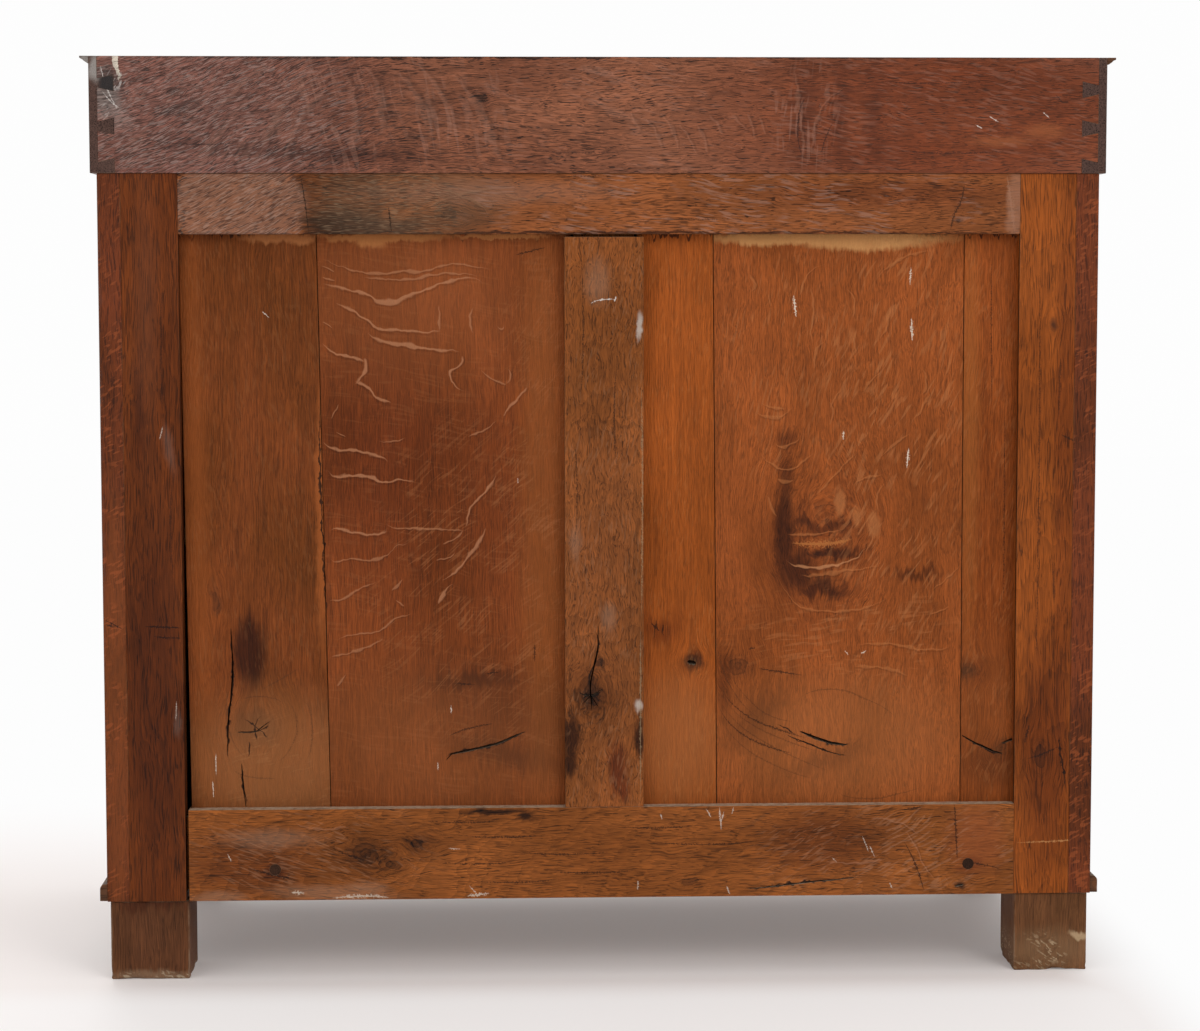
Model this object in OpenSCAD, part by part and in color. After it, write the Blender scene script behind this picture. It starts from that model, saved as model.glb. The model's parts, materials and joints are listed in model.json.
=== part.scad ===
// Oak credenza: a dovetailed frieze box with two drawers on a framed case with two doors.
// The doors face -Y and the back faces +Y. The floor is at z = 0 under the middle of the piece.
// Left and right are as seen from the front, so the left side is at -X.

/* [Overall] */
// Height from the floor to the top
total_h = 1016; // [960:1:1100]
// Width of the lower case over its side frames
case_w = 1096; // [960:1:1300]
// Depth of the lower case from its front face to its back face
case_d = 510; // [440:1:600]
// Height of the feet
foot_h = 88; // [50:1:120]

/* [Frieze box] */
// Height of the frieze box
frieze_h = 126; // [118:1:160]
// How far the frieze stands out past each side of the case
frieze_over_side = 7; // [2:0.5:15]
// How far the frieze stands out past the front of the case
frieze_over_front = 8; // [2:0.5:20]
// How far the frieze stands out past the back of the case
frieze_over_back = 2; // [0.5:0.5:5]
// Thickness of the frieze side boards
frieze_side_t = 27; // [24:0.5:34]
// Thickness of the frieze back board
frieze_back_t = 26; // [22:0.5:32]
// Wood left outside the dovetails, so that the sides show none of them
lap_t = 9; // [7:0.5:11]
// Width of a dovetail pin where it starts
pin_w = 18; // [12:0.5:22]
// How much each edge of a pin tapers
pin_taper = 4.3; // [2:0.1:5]
// Pin centres above the bottom of the frieze, left side
left_pins = [49, 91]; // [30:1:105]
// Pin centres above the bottom of the frieze, right side
right_pins = [50.5, 97]; // [30:1:105]
// Height of the half pin at the bottom of each corner
half_pin_h = 16; // [12:0.5:20]
// Thickness of the top panel
top_t = 16; // [12:0.5:20]
// Width of the rebate that the top panel lies in
top_seat = 12; // [8:0.5:15]
// Number of boards in the top panel
top_boards = 3; // [1:1:5]
// Open joint between the boards of the top panel
top_joint = 0.5; // [0.2:0.1:1]

/* [Frieze front] */
// Depth of the frieze front rails
frieze_rail_d = 26; // [22:0.5:32]
// Height of the rail over the drawers
frieze_top_rail_h = 24; // [22:0.5:30]
// Height of the rail under the drawers, which is also the thickness of the drawer floor
frieze_bottom_rail_h = 20; // [16:0.5:26]
// Width of the divider between the drawers and of the guide behind it
divider_w = 26; // [20:0.5:40]
// Height of the guide between the drawers
guide_h = 18; // [10:0.5:30]
// Thickness of the short tenons of the frieze front
stub_t = 8; // [6:0.5:9]
// Length of the short tenons of the frieze front
stub_len = 10; // [6:0.5:12]
// How far these tenons lie behind the face of the frieze
stub_set = 2; // [1:0.1:3]
// How far they stay in from the edges of the rails
stub_in = 3; // [2:0.1:5]
// How far the tenons of the divider stay in from its sides
divider_stub_in = 6; // [3:0.1:8]

/* [Drawers] */
// Gap around a drawer front
drawer_gap = 1; // [0.5:0.1:2]
// Gap between a drawer and the floor that it slides on
slide_gap = 0.3; // [0.2:0.05:0.5]
// Thickness of the drawer fronts
drawer_front_t = 22; // [20:0.5:26]
// Wood left in front of the drawer dovetails
drawer_lap = 8; // [6:0.5:10]
// Thickness of the drawer sides and backs
drawer_side_t = 12; // [10:0.5:16]
// How much lower the drawer sides are than the drawer opening
drawer_side_low = 7; // [4:0.5:12]
// Room between a closed drawer and the frieze back
drawer_clear = 44; // [10:1:120]
// Thickness of the drawer bottoms
drawer_bottom_t = 7; // [5:0.5:9]
// Height of the drawer bottom above the lower edge of the drawer sides
drawer_bottom_up = 6; // [4:0.5:10]
// Depth of the grooves that hold the drawer bottoms
drawer_groove = 5; // [3:0.5:7]
// How far the drawer back stands in from the end of the sides
drawer_back_in = 8; // [4:0.5:20]
// How far the drawer back stays below the top of the sides
drawer_back_low = 5; // [2:0.1:10]
// How far the drawer bottom stops short of the end of the sides
drawer_bottom_in = 1; // [0.5:0.1:4]
// Width of a drawer dovetail at its root
drawer_tail_w = 20; // [16:0.5:24]
// How far each side of a drawer dovetail flares out
drawer_tail_flare = 3; // [2:0.1:4]
// Radius of a drawer knob
knob_r = 16; // [12:0.5:20]
// How far a drawer knob stands out
knob_out = 28; // [22:0.5:34]
// Height of the foot of a drawer knob
knob_rim = 2.5; // [1.5:0.1:3.5]
// Height of the cove over that foot
knob_cove = 2; // [1:0.1:3]
// Radius of the spigot that holds a drawer knob
spigot_r = 8; // [5:0.5:9]

/* [Top moulding] */
// Height of the top moulding
top_mould_h = 7.5; // [6:0.5:14]
// Open joint at the mitres of the mouldings
mitre_gap = 0.4; // [0.1:0.1:1]
// How far the top moulding stands out
top_mould_out = 9.5; // [6:0.5:16]
// Height of its square upper edge
top_mould_edge = 2; // [1:0.5:3]
// Width of its lower edge
top_mould_foot = 1.5; // [1:0.5:3]

/* [Case] */
// Thickness of the side frames
side_t = 25; // [22:0.5:32]
// Width of the back stiles of the side frames
side_stile_w = 60; // [50:1:80]
// Width of the front corner posts
post_w = 62; // [56:1:80]
// Depth of the front corner posts
post_d = 50; // [46:1:60]
// Height of the front rail over the doors
front_top_rail_h = 30; // [26:1:50]
// Height of the front rail under the doors
front_bottom_rail_h = 35; // [32:1:38]
// Thickness of the front rails and the doors
front_t = 24; // [23:0.5:28]
// Thickness of the panels, and of the tenons that lie in line with them
panel_t = 9; // [7:0.5:9]
// Depth of the grooves that hold the panels
groove = 8; // [6:0.5:10]
// Length of the tenons
tenon_len = 25; // [18:0.5:28]
// How far a tenon is narrower than its rail on each edge
tenon_set = 10; // [8.5:0.5:12]
// How deep the side panels lie behind the outside face
side_recess = 7.5; // [5:0.5:9]
// Room for a panel to swell in its grooves
panel_play = 1; // [0.5:0.1:2]

/* [Back] */
// Thickness of the back frame
back_t = 30; // [27:0.5:36]
// Width of the back stiles
back_stile_w = 62; // [54:0.5:80]
// Height of the back top rail, and of the top rails of the side frames
top_rail_h = 66; // [50:1:90]
// Height of the back bottom rail, and of the bottom rails of the side frames
bottom_rail_h = 102; // [84:1:130]
// Width of the back muntin
muntin_w = 87; // [60:1:120]
// How far the muntin stands to the left of the middle
muntin_off = 3; // [0:0.5:10]
// Open joint above the muntin
muntin_gap = 3; // [0.5:0.5:4]
// Open joint at the right end of the bottom rail
rail_gap = 3.5; // [0.5:0.5:5]
// How deep the back panels lie behind the rails
back_recess = 16; // [12:0.5:17]
// Open gap beside the right back panel at the bottom rail, where it has shrunk
shrink_gap = 5.8; // [2:0.1:7]
// Width of the board beside the left back stile
left_edge_board = 58.5; // [40:0.5:90]
// Width of the board on the left of the muntin
left_muntin_board = 80; // [50:0.5:110]
// How far the joint beside that board leans
left_lean = 5.5; // [0:0.5:12]
// Width of the board beside the right back stile
right_edge_board = 154.5; // [110:0.5:200]
// How far the joint beside that board leans
right_lean = 11; // [0:0.5:16]
// Width of the joints between the panel boards
board_joint = 0.8; // [0.3:0.1:1.5]
// Radius of the round pegs in the bottom rail
peg_r = 6.3; // [4:0.1:7]
// Distance of the right peg from the right back stile
peg_right = 98.5; // [20:0.5:140]
// Distance of the left peg from the left back stile
peg_left = 51; // [20:0.5:140]
// Length of the pegs
peg_len = 56; // [40:1:80]

/* [Inside] */
// Thickness of the case bottom and of the shelf
board_t = 18; // [16:0.5:22]
// Height of the middle of the case bottom above the feet
bottom_up = 34.5; // [31:0.5:36]
// Gap between the case bottom and the closed doors
bottom_gap = 0.5; // [0.4:0.05:0.8]
// Depth of the housings that hold the case bottom
housing = 7; // [4:0.5:7]
// Height of the top of the shelf above the feet
shelf_up = 412; // [260:1:460]
// How far the shelf stands back from the front face
shelf_back = 60; // [54:1:120]
// Width and height of the shelf cleats
cleat = 22; // [15:0.5:25]
// Room at the ends of the shelf
shelf_play = 0.8; // [0.3:0.1:2]

/* [Doors] */
// Gap between a door and its post
hinge_gap = 2; // [1.8:0.1:3]
// Gap between the two doors
meet_gap = 3; // [2:0.1:5]
// Gap above and below the doors
door_gap = 1.5; // [1:0.1:3]
// Width of the door stiles
door_stile_w = 80; // [74:1:110]
// Height of the door top rails
door_top_rail_h = 80; // [60:1:110]
// Height of the door bottom rails
door_bottom_rail_h = 95; // [60:1:130]
// How deep the panel and the tenons lie behind the face of a door
door_recess = 8; // [6:0.5:8]
// Width of the bevel around a raised door panel
bevel_w = 40; // [20:1:60]
// Width of the flat edge around the bevel
bevel_edge = 3; // [1:0.5:6]
// How far the field of a door panel is raised
field_up = 5; // [2:0.5:5.5]

/* [Hinges] */
// Radius of a hinge barrel
barrel_r = 4.6; // [4:0.1:5]
// Height of each half of a hinge
hinge_h = 35; // [25:1:50]
// Radius of a hinge pin
pin_r = 2.5; // [1.5:0.1:3]
// Radial running clearance of the pins and of the key
run_fit = 0.05; // [0.03:0.01:0.08]
// Gap between the two halves of a hinge
half_gap = 0.3; // [0.2:0.05:0.5]
// Thickness of a hinge leaf
leaf_t = 1.6; // [1.2:0.1:1.6]
// How far a hinge leaf reaches in from the face
leaf_in = 18; // [14:0.5:22]
// Distance of each hinge from the end of its door
hinge_end = 110; // [70:1:200]
// Gap between the hinge barrels and the face of the doors
barrel_gap = 0.4; // [0.3:0.05:0.6]
// How much shorter a hinge pin is than half a hinge
pin_short = 5; // [4:0.1:8]
// Thickness of the cap over the bore of an upper half
hinge_cap = 3; // [2:0.1:3.5]

/* [Lock and key] */
// Width of the lock case
lock_w = 60; // [56:1:72]
// Depth of the lock case
lock_d = 14; // [13:0.5:18]
// Wall of the lock case
lock_wall = 2; // [1.5:0.1:2.5]
// Height of the key axis above the bottom of the doors
key_up = 370; // [320:1:420]
// Distance of the key axis from the meeting edge
key_in = 34; // [32:0.5:36]
// Radius of the key's shank
shank_r = 3; // [2.5:0.1:3.2]
// Radius that the key's bit turns in
bit_r = 9.5; // [9:0.1:9.8]
// Travel of the lock bolt
bolt_throw = 9; // [8:0.1:10]
// Height of the lock bolt
bolt_h = 16; // [12:0.5:18]
// Thickness of the lock bolt
bolt_t = 7; // [5:0.5:8]
// How far the key stands out from the face of the door
key_out = 40; // [37:0.5:46]
// Outer radius of the key's ring
bow_r = 12.5; // [11:0.5:14]
// Radius of the bar that the key's ring is made of
bow_bar = 2.2; // [1.8:0.1:2.6]
// Height of the escutcheon
escutcheon_h = 54; // [40:1:70]
// Width of the escutcheon
escutcheon_w = 30; // [26:1:38]
// Thickness of the escutcheon
escutcheon_t = 1.5; // [1:0.1:2.5]
// How far the middle of the escutcheon lies below the key axis
escutcheon_low = 2; // [0:0.1:4]
// Thickness of the key's bit
bit_t = 2.5; // [2:0.1:3]
// How much thinner the tip of the key is than its shank
tip_step = 1; // [0.5:0.1:1.4]
// Gap around the key in its keyhole, and between its bit and the bolt
key_fit = 0.6; // [0.4:0.05:0.8]
// How far the keyhole reaches below the bit
keyhole_low = 1; // [0.5:0.1:1.5]
// Distance of the lock case from the meeting edge
lock_in = 5; // [4:0.1:6]
// Room under the turning bit in the lock case
lock_room = 2; // [1:0.1:4]
// Distance of the lock bolt from the back of the door
bolt_in = 2.5; // [1.5:0.1:2.8]
// How far the end of the lock bolt stays behind the meeting edge
bolt_back = 1; // [0.5:0.1:2]
// Room behind the lock bolt in its case
bolt_room = 3; // [1:0.1:5]
// Gap between the bit and the stump of the lock bolt
stump_gap = 0.75; // [0.5:0.05:1]
// Width of the stump
stump_w = 4; // [3:0.1:6]
// Height of the stump
stump_h = 4; // [3:0.1:4.5]

/* [Slide bolt] */
// Width of the slide bolt
slide_w = 14; // [10:0.5:18]
// Thickness of the slide bolt
slide_t = 5; // [4:0.5:7]
// Length of the slide bolt
slide_len = 130; // [110:1:160]
// Travel of the slide bolt
slide_throw = 16; // [10:0.5:18]
// Running gap around the slide bolt and the lock bolt
slide_fit = 0.4; // [0.3:0.05:0.8]
// Thickness of the staple straps
staple_t = 2; // [1.5:0.1:3]
// Height of the staple straps
staple_h = 12; // [8:0.5:16]
// Distance of each staple past the travel of the slide bolt's knob
staple_room = 10; // [8:0.5:14]
// How far the end of the slide bolt lies below the top of its door
slide_low = 2.5; // [1:0.1:5]
// How far the knob of the slide bolt stands out from it
slide_knob_out = 12; // [8:0.5:16]
// How far the knob stays in from the edges of the slide bolt
slide_knob_in = 1; // [0.5:0.1:2]

/* [Base moulding] */
// Height of the base moulding
base_mould_h = 19; // [14:0.5:26]
// How far the base moulding stands out
base_mould_out = 8; // [7:0.5:14]
// Radius of its rounded upper edge
base_mould_r = 6; // [3:0.5:6.5]
// How far its lower edge lies above the bottom of the case
base_mould_up = 1; // [0:0.5:4]

/* [Feet] */
// Width of three of the feet
foot_w = 87; // [70:1:110]
// Width of the left back foot, which was cut narrower
foot_narrow_w = 82; // [66:1:110]
// Depth of the feet
foot_d = 85; // [60:1:110]
// How far the feet stand in from the faces of the case
foot_in = 3; // [1:0.5:10]
// Radius of the round tenon on top of a foot
foot_pin_r = 6.5; // [5:0.5:7]
// Height of the round tenon on top of a foot
foot_pin_h = 20; // [12:1:25]
// Room above the tenon in its hole
foot_hole_room = 1; // [0.5:0.1:2]
// Wood between a front foot's tenon and the tenons of the front rails
foot_pin_wall = 1.5; // [1:0.1:2.5]
// Wood between a front foot's tenon and the tenons of the side rails
foot_pin_back_wall = 2; // [1:0.1:3]
// Wood between a back foot's tenon and the side frame
foot_pin_side = 11.5; // [8:0.1:15]

/* [Hidden] */
$fn = 48;
eps = 0.01;

// Levels, from the floor up
z_case = foot_h;
z_frieze = total_h - frieze_h;
z_bottom_rail = z_case + bottom_rail_h;
z_top_rail = z_frieze - top_rail_h;
z_drawer = z_frieze + frieze_bottom_rail_h;
z_drawer_top = total_h - frieze_top_rail_h;
z_board = z_case + bottom_up - board_t / 2;
z_shelf = z_case + shelf_up - board_t;
z_door = z_case + front_bottom_rail_h + door_gap;
z_door_top = z_frieze - front_top_rail_h - door_gap;

// Half widths, from the middle out
x_case = case_w / 2;
x_side = x_case - side_t;
x_back = x_side - back_stile_w;
x_post = x_case - post_w;
x_frieze = x_case + frieze_over_side;
x_frieze_in = x_frieze - frieze_side_t;
x_divider = divider_w / 2;
x_meet = meet_gap / 2;
x_door = x_post - hinge_gap;
x_hinge = x_post - hinge_gap / 2;

// Depths: the whole reach is centred on y = 0
front_reach = max(key_out, frieze_over_front + knob_out);
y_back = (case_d + front_reach - frieze_over_back) / 2;
y_front = y_back - case_d;
y_frieze = y_front - frieze_over_front;
y_frieze_back = y_back + frieze_over_back;
y_frieze_in = y_frieze_back - frieze_back_t;
y_frieze_rail = y_frieze + frieze_rail_d;
y_post = y_front + post_d;
y_side_stile = y_back - side_stile_w;
y_back_in = y_back - back_t;
y_door_in = y_front + front_t;
y_drawer_front = y_frieze + drawer_front_t;
y_drawer_end = y_frieze_in - drawer_clear;
y_hinge = y_front - barrel_r - barrel_gap;

// Layers in which the panels and the tenons of each frame lie
side_layer = [x_case - side_recess - panel_t, x_case - side_recess];
back_layer = [y_back - back_recess - panel_t, y_back - back_recess];
door_layer = [y_front + door_recess, y_front + door_recess + panel_t];

// Places of the lock: the bolt lies above the turning circle of the bit
x_key = x_meet + key_in;
z_key = z_door + key_up;
lock_x = x_meet + lock_in;
lock_y = y_door_in + lock_d;
bolt_y = y_door_in + bolt_in;
z_bolt = z_key + bit_r + key_fit;
lock_low = z_key - bit_r - lock_room - lock_wall;
lock_high = z_bolt + bolt_h + slide_fit + lock_wall;
keyhole_r = shank_r + key_fit;
tip_r = shank_r - tip_step;
stump_x = x_key + bit_t / 2 + stump_gap;

// Places of the slide bolt, behind the left door's meeting stile
x_slide = -x_meet - door_stile_w / 2;
z_slide = z_door_top - slide_low - slide_len;
slide_y = y_door_in + slide_fit;
knob_h = z_slide + slide_len / 2;

wood = "#7a4a2b";
dark_wood = "#5c3a25";
pale_wood = "#9a6a3f";
iron = "#4a4643";
brass = "#a58544";

// A block between two corners given as low and high values on each axis
module block(x, y, z) {
    translate([x[0], y[0], z[0]])
        cube([x[1] - x[0], y[1] - y[0], z[1] - z[0]]);
}

// A shape drawn in x and z, made solid between two depths
module slab_y(y) {
    translate([0, y[1], 0])
        rotate([90, 0, 0])
            linear_extrude(y[1] - y[0])
                children();
}

// A shape drawn in y and z, made solid between two widths
module slab_x(x) {
    translate([x[0], 0, 0])
        rotate([90, 0, 90])
            linear_extrude(x[1] - x[0])
                children();
}

// A round bar or hole along y
module rod_y(x, z, r, y) {
    translate([x, y[1], z])
        rotate([90, 0, 0])
            cylinder(r = r, h = y[1] - y[0]);
}

// The left or right copy of a shape that is drawn on the right
module sided(s) {
    mirror([s > 0 ? 0 : 1, 0, 0])
        children();
}

// Frieze box

// The pins of one corner, drawn on the right: each is wide at the joint line and narrow at the lap
module pins(centres) {
    slab_y([y_frieze_in, y_frieze_back]) {
        for (c = centres)
            polygon([[x_frieze_in, z_frieze + c - pin_w / 2],
                [x_frieze - lap_t, z_frieze + c - pin_w / 2 + pin_taper],
                [x_frieze - lap_t, z_frieze + c + pin_w / 2 - pin_taper],
                [x_frieze_in, z_frieze + c + pin_w / 2]]);
        polygon([[x_frieze_in, z_frieze],
            [x_frieze - lap_t, z_frieze],
            [x_frieze - lap_t, z_frieze + half_pin_h - pin_taper],
            [x_frieze_in, z_frieze + half_pin_h]]);
    }
}

// The space that the top panel fills, which is cut out of everything around it
module top_seat_block() {
    block([-x_frieze_in - top_seat, x_frieze_in + top_seat],
        [y_frieze + top_seat, y_frieze_in + top_seat],
        [total_h - top_t, total_h]);
}

module frieze_back() {
    color(wood)
        difference() {
            block([-x_frieze + lap_t, x_frieze - lap_t], [y_frieze_in, y_frieze_back],
                [z_frieze, total_h]);
            pins(right_pins);
            sided(-1)
                pins(left_pins);
            top_seat_block();
        }
}

module frieze_side(s, centres) {
    color(dark_wood)
        difference() {
            sided(s) {
                block([x_frieze_in, x_frieze], [y_frieze, y_frieze_in], [z_frieze, total_h]);
                block([x_frieze - lap_t, x_frieze], [y_frieze_in, y_frieze_back],
                    [z_frieze, total_h]);
                pins(centres);
            }
            top_seat_block();
            rail_stubs();
        }
}

// The short tenons at the ends of the two front rails
module rail_stubs() {
    y = [y_frieze + stub_set, y_frieze + stub_set + stub_t];
    x = [-x_frieze_in - stub_len, x_frieze_in + stub_len];
    block(x, y, [z_frieze + stub_in, z_drawer - stub_in]);
    block(x, y, [z_drawer_top + stub_in, total_h - stub_in]);
}

module divider_stubs() {
    block([-x_divider + divider_stub_in, x_divider - divider_stub_in],
        [y_frieze + stub_t, y_frieze_rail - stub_t],
        [z_drawer - stub_len, z_drawer_top + (frieze_top_rail_h - top_t) / 2]);
}

module frieze_front_rails() {
    color(wood)
        difference() {
            union() {
                block([-x_frieze_in, x_frieze_in], [y_frieze, y_frieze_rail],
                    [z_frieze, z_drawer]);
                block([-x_frieze_in, x_frieze_in], [y_frieze, y_frieze_rail],
                    [z_drawer_top, total_h]);
                rail_stubs();
            }
            divider_stubs();
            top_seat_block();
        }
}

module frieze_divider() {
    color(wood) {
        block([-x_divider, x_divider], [y_frieze, y_frieze_rail], [z_drawer, z_drawer_top]);
        divider_stubs();
    }
}

module top_panel() {
    depth = y_frieze_in - y_frieze;
    pitch = (depth + top_joint) / top_boards;
    color(wood)
        for (i = [0 : top_boards - 1])
            block([-x_frieze_in - top_seat, x_frieze_in + top_seat],
                [y_frieze + top_seat + i * pitch, y_frieze + top_seat + (i + 1) * pitch - top_joint],
                [total_h - top_t, total_h]);
}

// Section of the top moulding: a square edge over a hollow
module top_mould_section() {
    hollow = min(top_mould_h - top_mould_edge, top_mould_out - top_mould_foot);
    difference() {
        polygon([[0, 0], [top_mould_out, 0], [top_mould_out, -top_mould_edge],
            [top_mould_foot, -top_mould_h], [0, -top_mould_h]]);
        translate([top_mould_out, -top_mould_h])
            circle(r = hollow * 0.9);
    }
}

// One moulding section run round three sides of a box, mitred at the two front corners
module moulding_run(x, y, out) {
    for (s = [-1, 1])
        sided(s)
            intersection() {
                translate([x, y[1], 0])
                    rotate([90, 0, 0])
                        linear_extrude(y[1] - y[0] + out)
                            children();
                translate([0, 0, -total_h])
                    linear_extrude(2 * total_h)
                        polygon([[x, y[0]], [x + out, y[0] - out], [x + out, y[1]], [x, y[1]]]);
            }
    intersection() {
        translate([-x - out, y[0], 0])
            mirror([0, 1, 0])
                rotate([90, 0, 90])
                    linear_extrude(2 * (x + out))
                        children();
        translate([0, 0, -total_h])
            linear_extrude(2 * total_h)
                polygon([[-x - out + mitre_gap, y[0] - out], [x + out - mitre_gap, y[0] - out],
                [x - mitre_gap, y[0]], [-x + mitre_gap, y[0]]]);
    }
}

module top_mouldings() {
    color(dark_wood)
        translate([0, 0, total_h])
            moulding_run(x_frieze, [y_frieze, y_frieze_back], top_mould_out)
                top_mould_section();
}

module drawer_floor() {
    color(pale_wood)
        block([-x_frieze_in, x_frieze_in], [y_frieze_rail, y_frieze_in], [z_frieze, z_drawer]);
}

module drawer_guide() {
    color(pale_wood)
        block([-x_divider, x_divider], [y_frieze_rail, y_frieze_in],
            [z_drawer, z_drawer + guide_h]);
}

// Drawers, drawn for the right one between the divider and the frieze side

drawer_x = [x_divider + drawer_gap, x_frieze_in - drawer_gap];
drawer_z = [z_drawer + slide_gap, z_drawer_top - drawer_side_low];
drawer_mid = (drawer_x[0] + drawer_x[1]) / 2;
drawer_face_z = [z_drawer + drawer_gap, z_drawer_top - drawer_gap];
drawer_bottom_z = drawer_z[0] + drawer_bottom_up;
drawer_tail_at = [0.27, 0.73];

// The two dovetails at the front end of a drawer side
module drawer_tails() {
    h = drawer_z[1] - drawer_face_z[0];
    start = y_drawer_front;
    end = y_frieze + drawer_lap;
    slab_x([drawer_x[0], drawer_x[0] + drawer_side_t])
        for (z = [for (share = drawer_tail_at) drawer_face_z[0] + h * share])
            polygon([[start, z - drawer_tail_w / 2], [end, z - drawer_tail_w / 2 - drawer_tail_flare],
                [end, z + drawer_tail_w / 2 + drawer_tail_flare], [start, z + drawer_tail_w / 2]]);
}

module drawer_tail_pairs() {
    drawer_tails();
    translate([drawer_x[1] - drawer_x[0] - drawer_side_t, 0, 0])
        drawer_tails();
}

module drawer_bottom_block() {
    block([drawer_x[0] + drawer_side_t - drawer_groove, drawer_x[1] - drawer_side_t + drawer_groove],
        [y_drawer_front - drawer_groove, y_drawer_end - drawer_bottom_in],
        [drawer_bottom_z, drawer_bottom_z + drawer_bottom_t]);
}

module drawer_back_block() {
    end = y_drawer_end - drawer_back_in;
    block([drawer_x[0] + drawer_side_t - drawer_groove, drawer_x[1] - drawer_side_t + drawer_groove],
        [end - drawer_side_t, end],
        [drawer_bottom_z + drawer_bottom_t, drawer_z[1] - drawer_back_low]);
}

module drawer_front(s) {
    color(wood)
        sided(s)
            difference() {
                block(drawer_x, [y_frieze, y_drawer_front], drawer_face_z);
                drawer_tail_pairs();
                drawer_bottom_block();
                rod_y(drawer_mid, (drawer_face_z[0] + drawer_face_z[1]) / 2, spigot_r + run_fit,
                    [y_frieze - eps, y_drawer_front + eps]);
            }
}

module drawer_sides(s) {
    color(pale_wood)
        sided(s)
            difference() {
                union() {
                    drawer_tail_pairs();
                    for (x = [drawer_x[0], drawer_x[1] - drawer_side_t])
                        block([x, x + drawer_side_t], [y_drawer_front, y_drawer_end], drawer_z);
                }
                drawer_bottom_block();
                drawer_back_block();
            }
}

module drawer_back(s) {
    color(pale_wood)
        sided(s)
            drawer_back_block();
}

module drawer_bottom(s) {
    color(pale_wood)
        sided(s)
            drawer_bottom_block();
}

// A turned knob: a mushroom head on a narrow neck, with a spigot through the drawer front
module drawer_knob(s) {
    color(dark_wood)
        sided(s)
            translate([drawer_mid, y_frieze, (drawer_face_z[0] + drawer_face_z[1]) / 2])
                rotate([90, 0, 0])
                    rotate_extrude()
                        polygon(concat([[0, -drawer_front_t], [spigot_r, -drawer_front_t],
                            [spigot_r, 0], [knob_r * 0.72, 0], [knob_r * 0.72, knob_rim],
                            [knob_r * 0.5, knob_rim + knob_cove], [knob_r * 0.46, knob_out * 0.3],
                            [knob_r * 0.6, knob_out * 0.45]],
                            [for (a = [-20 : 10 : 80]) [knob_r * cos(a),
                                knob_out * 0.68 + knob_out * 0.32 * sin(a)]],
                            [[0, knob_out]]));
}

// Back frame

// The bottom rail's tenons and the top rail's tenons, as cut in the stiles
module back_tenons() {
    for (z = [[z_case + tenon_set, z_bottom_rail - tenon_set],
            [z_top_rail + tenon_set, z_frieze - tenon_set]])
        block([-x_back - tenon_len, x_back + tenon_len], back_layer, z);
}

// The muntin's edges and its two tenons
muntin_x = [-muntin_off - muntin_w / 2, -muntin_off + muntin_w / 2];

module muntin_tenon() {
    block([muntin_x[0] + tenon_set, muntin_x[1] - tenon_set], back_layer,
        [z_bottom_rail - tenon_len, z_top_rail + tenon_len]);
}

// The grooves of the back frame, as the space that the panels may fill
module back_grooves() {
    block([-x_back - groove, x_back + groove], back_layer,
        [z_bottom_rail - groove, z_top_rail + groove]);
}

module back_stile(s) {
    color(wood)
        difference() {
            sided(s)
                block([x_back, x_side], [y_back_in, y_back], [z_case, z_frieze]);
            back_tenons();
            back_grooves();
            foot_pins();
        }
}

module back_top_rail() {
    color(wood)
        difference() {
            union() {
                block([-x_back, x_back], [y_back_in, y_back], [z_top_rail, z_frieze]);
                block([-x_back - tenon_len, x_back + tenon_len], back_layer,
                    [z_top_rail + tenon_set, z_frieze - tenon_set]);
            }
            back_grooves();
            muntin_tenon();
        }
}

module back_bottom_rail() {
    color(wood)
        difference() {
            union() {
                block([-x_back, x_back - rail_gap], [y_back_in, y_back], [z_case, z_bottom_rail]);
                block([-x_back - tenon_len, x_back + tenon_len], back_layer,
                    [z_case + tenon_set, z_bottom_rail - tenon_set]);
            }
            back_grooves();
            muntin_tenon();
            peg_holes();
        }
}

module back_muntin() {
    color(wood)
        difference() {
            union() {
                block(muntin_x, [y_back_in, y_back], [z_bottom_rail, z_top_rail - muntin_gap]);
                muntin_tenon();
            }
            for (x = muntin_x)
                block([x - groove, x + groove], back_layer, [z_bottom_rail, z_top_rail]);
        }
}

// The boards of a back panel, as slanted strips between two lines given at their feet and heads
panel_low = z_bottom_rail - groove;
panel_high = z_top_rail + groove - panel_play;

module back_board(foot, head) {
    slab_y(back_layer)
        polygon([[foot[0], panel_low], [foot[1], panel_low], [head[1], panel_high],
            [head[0], panel_high]]);
}

// A line between two boards, given where it meets the bottom rail and the top rail
function leaning(x, lean) = [x - lean / 2, x + lean / 2];

left_lines = [
    leaning(-x_back - groove + panel_play, 0),
    leaning(-x_back + left_edge_board, 1),
    leaning(muntin_x[0] - left_muntin_board, left_lean),
    leaning(muntin_x[0] + groove - panel_play, 0)];
right_lines = [
    leaning(muntin_x[1] - groove + panel_play, 0),
    leaning(x_back - right_edge_board, right_lean),
    [x_back - shrink_gap, x_back + panel_play]];

module back_panel(lines) {
    color(pale_wood)
        for (i = [0 : len(lines) - 2]) {
            low = i == 0 ? 0 : board_joint / 2;
            high = i == len(lines) - 2 ? 0 : board_joint / 2;
            back_board([lines[i][0] + low, lines[i + 1][0] - high],
                [lines[i][1] + low, lines[i + 1][1] - high]);
        }
}

module back_panel_left() {
    back_panel(left_lines);
}

module back_panel_right() {
    back_panel(right_lines);
}

module pegs(r) {
    for (x = [x_back - peg_right, peg_left - x_back])
        rod_y(x, z_case + bottom_up, r, [y_back - peg_len, y_back]);
}

module peg_holes() {
    pegs(peg_r + run_fit);
}

module back_pegs() {
    color(dark_wood)
        pegs(peg_r);
}

// Side frames, drawn on the right

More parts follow.
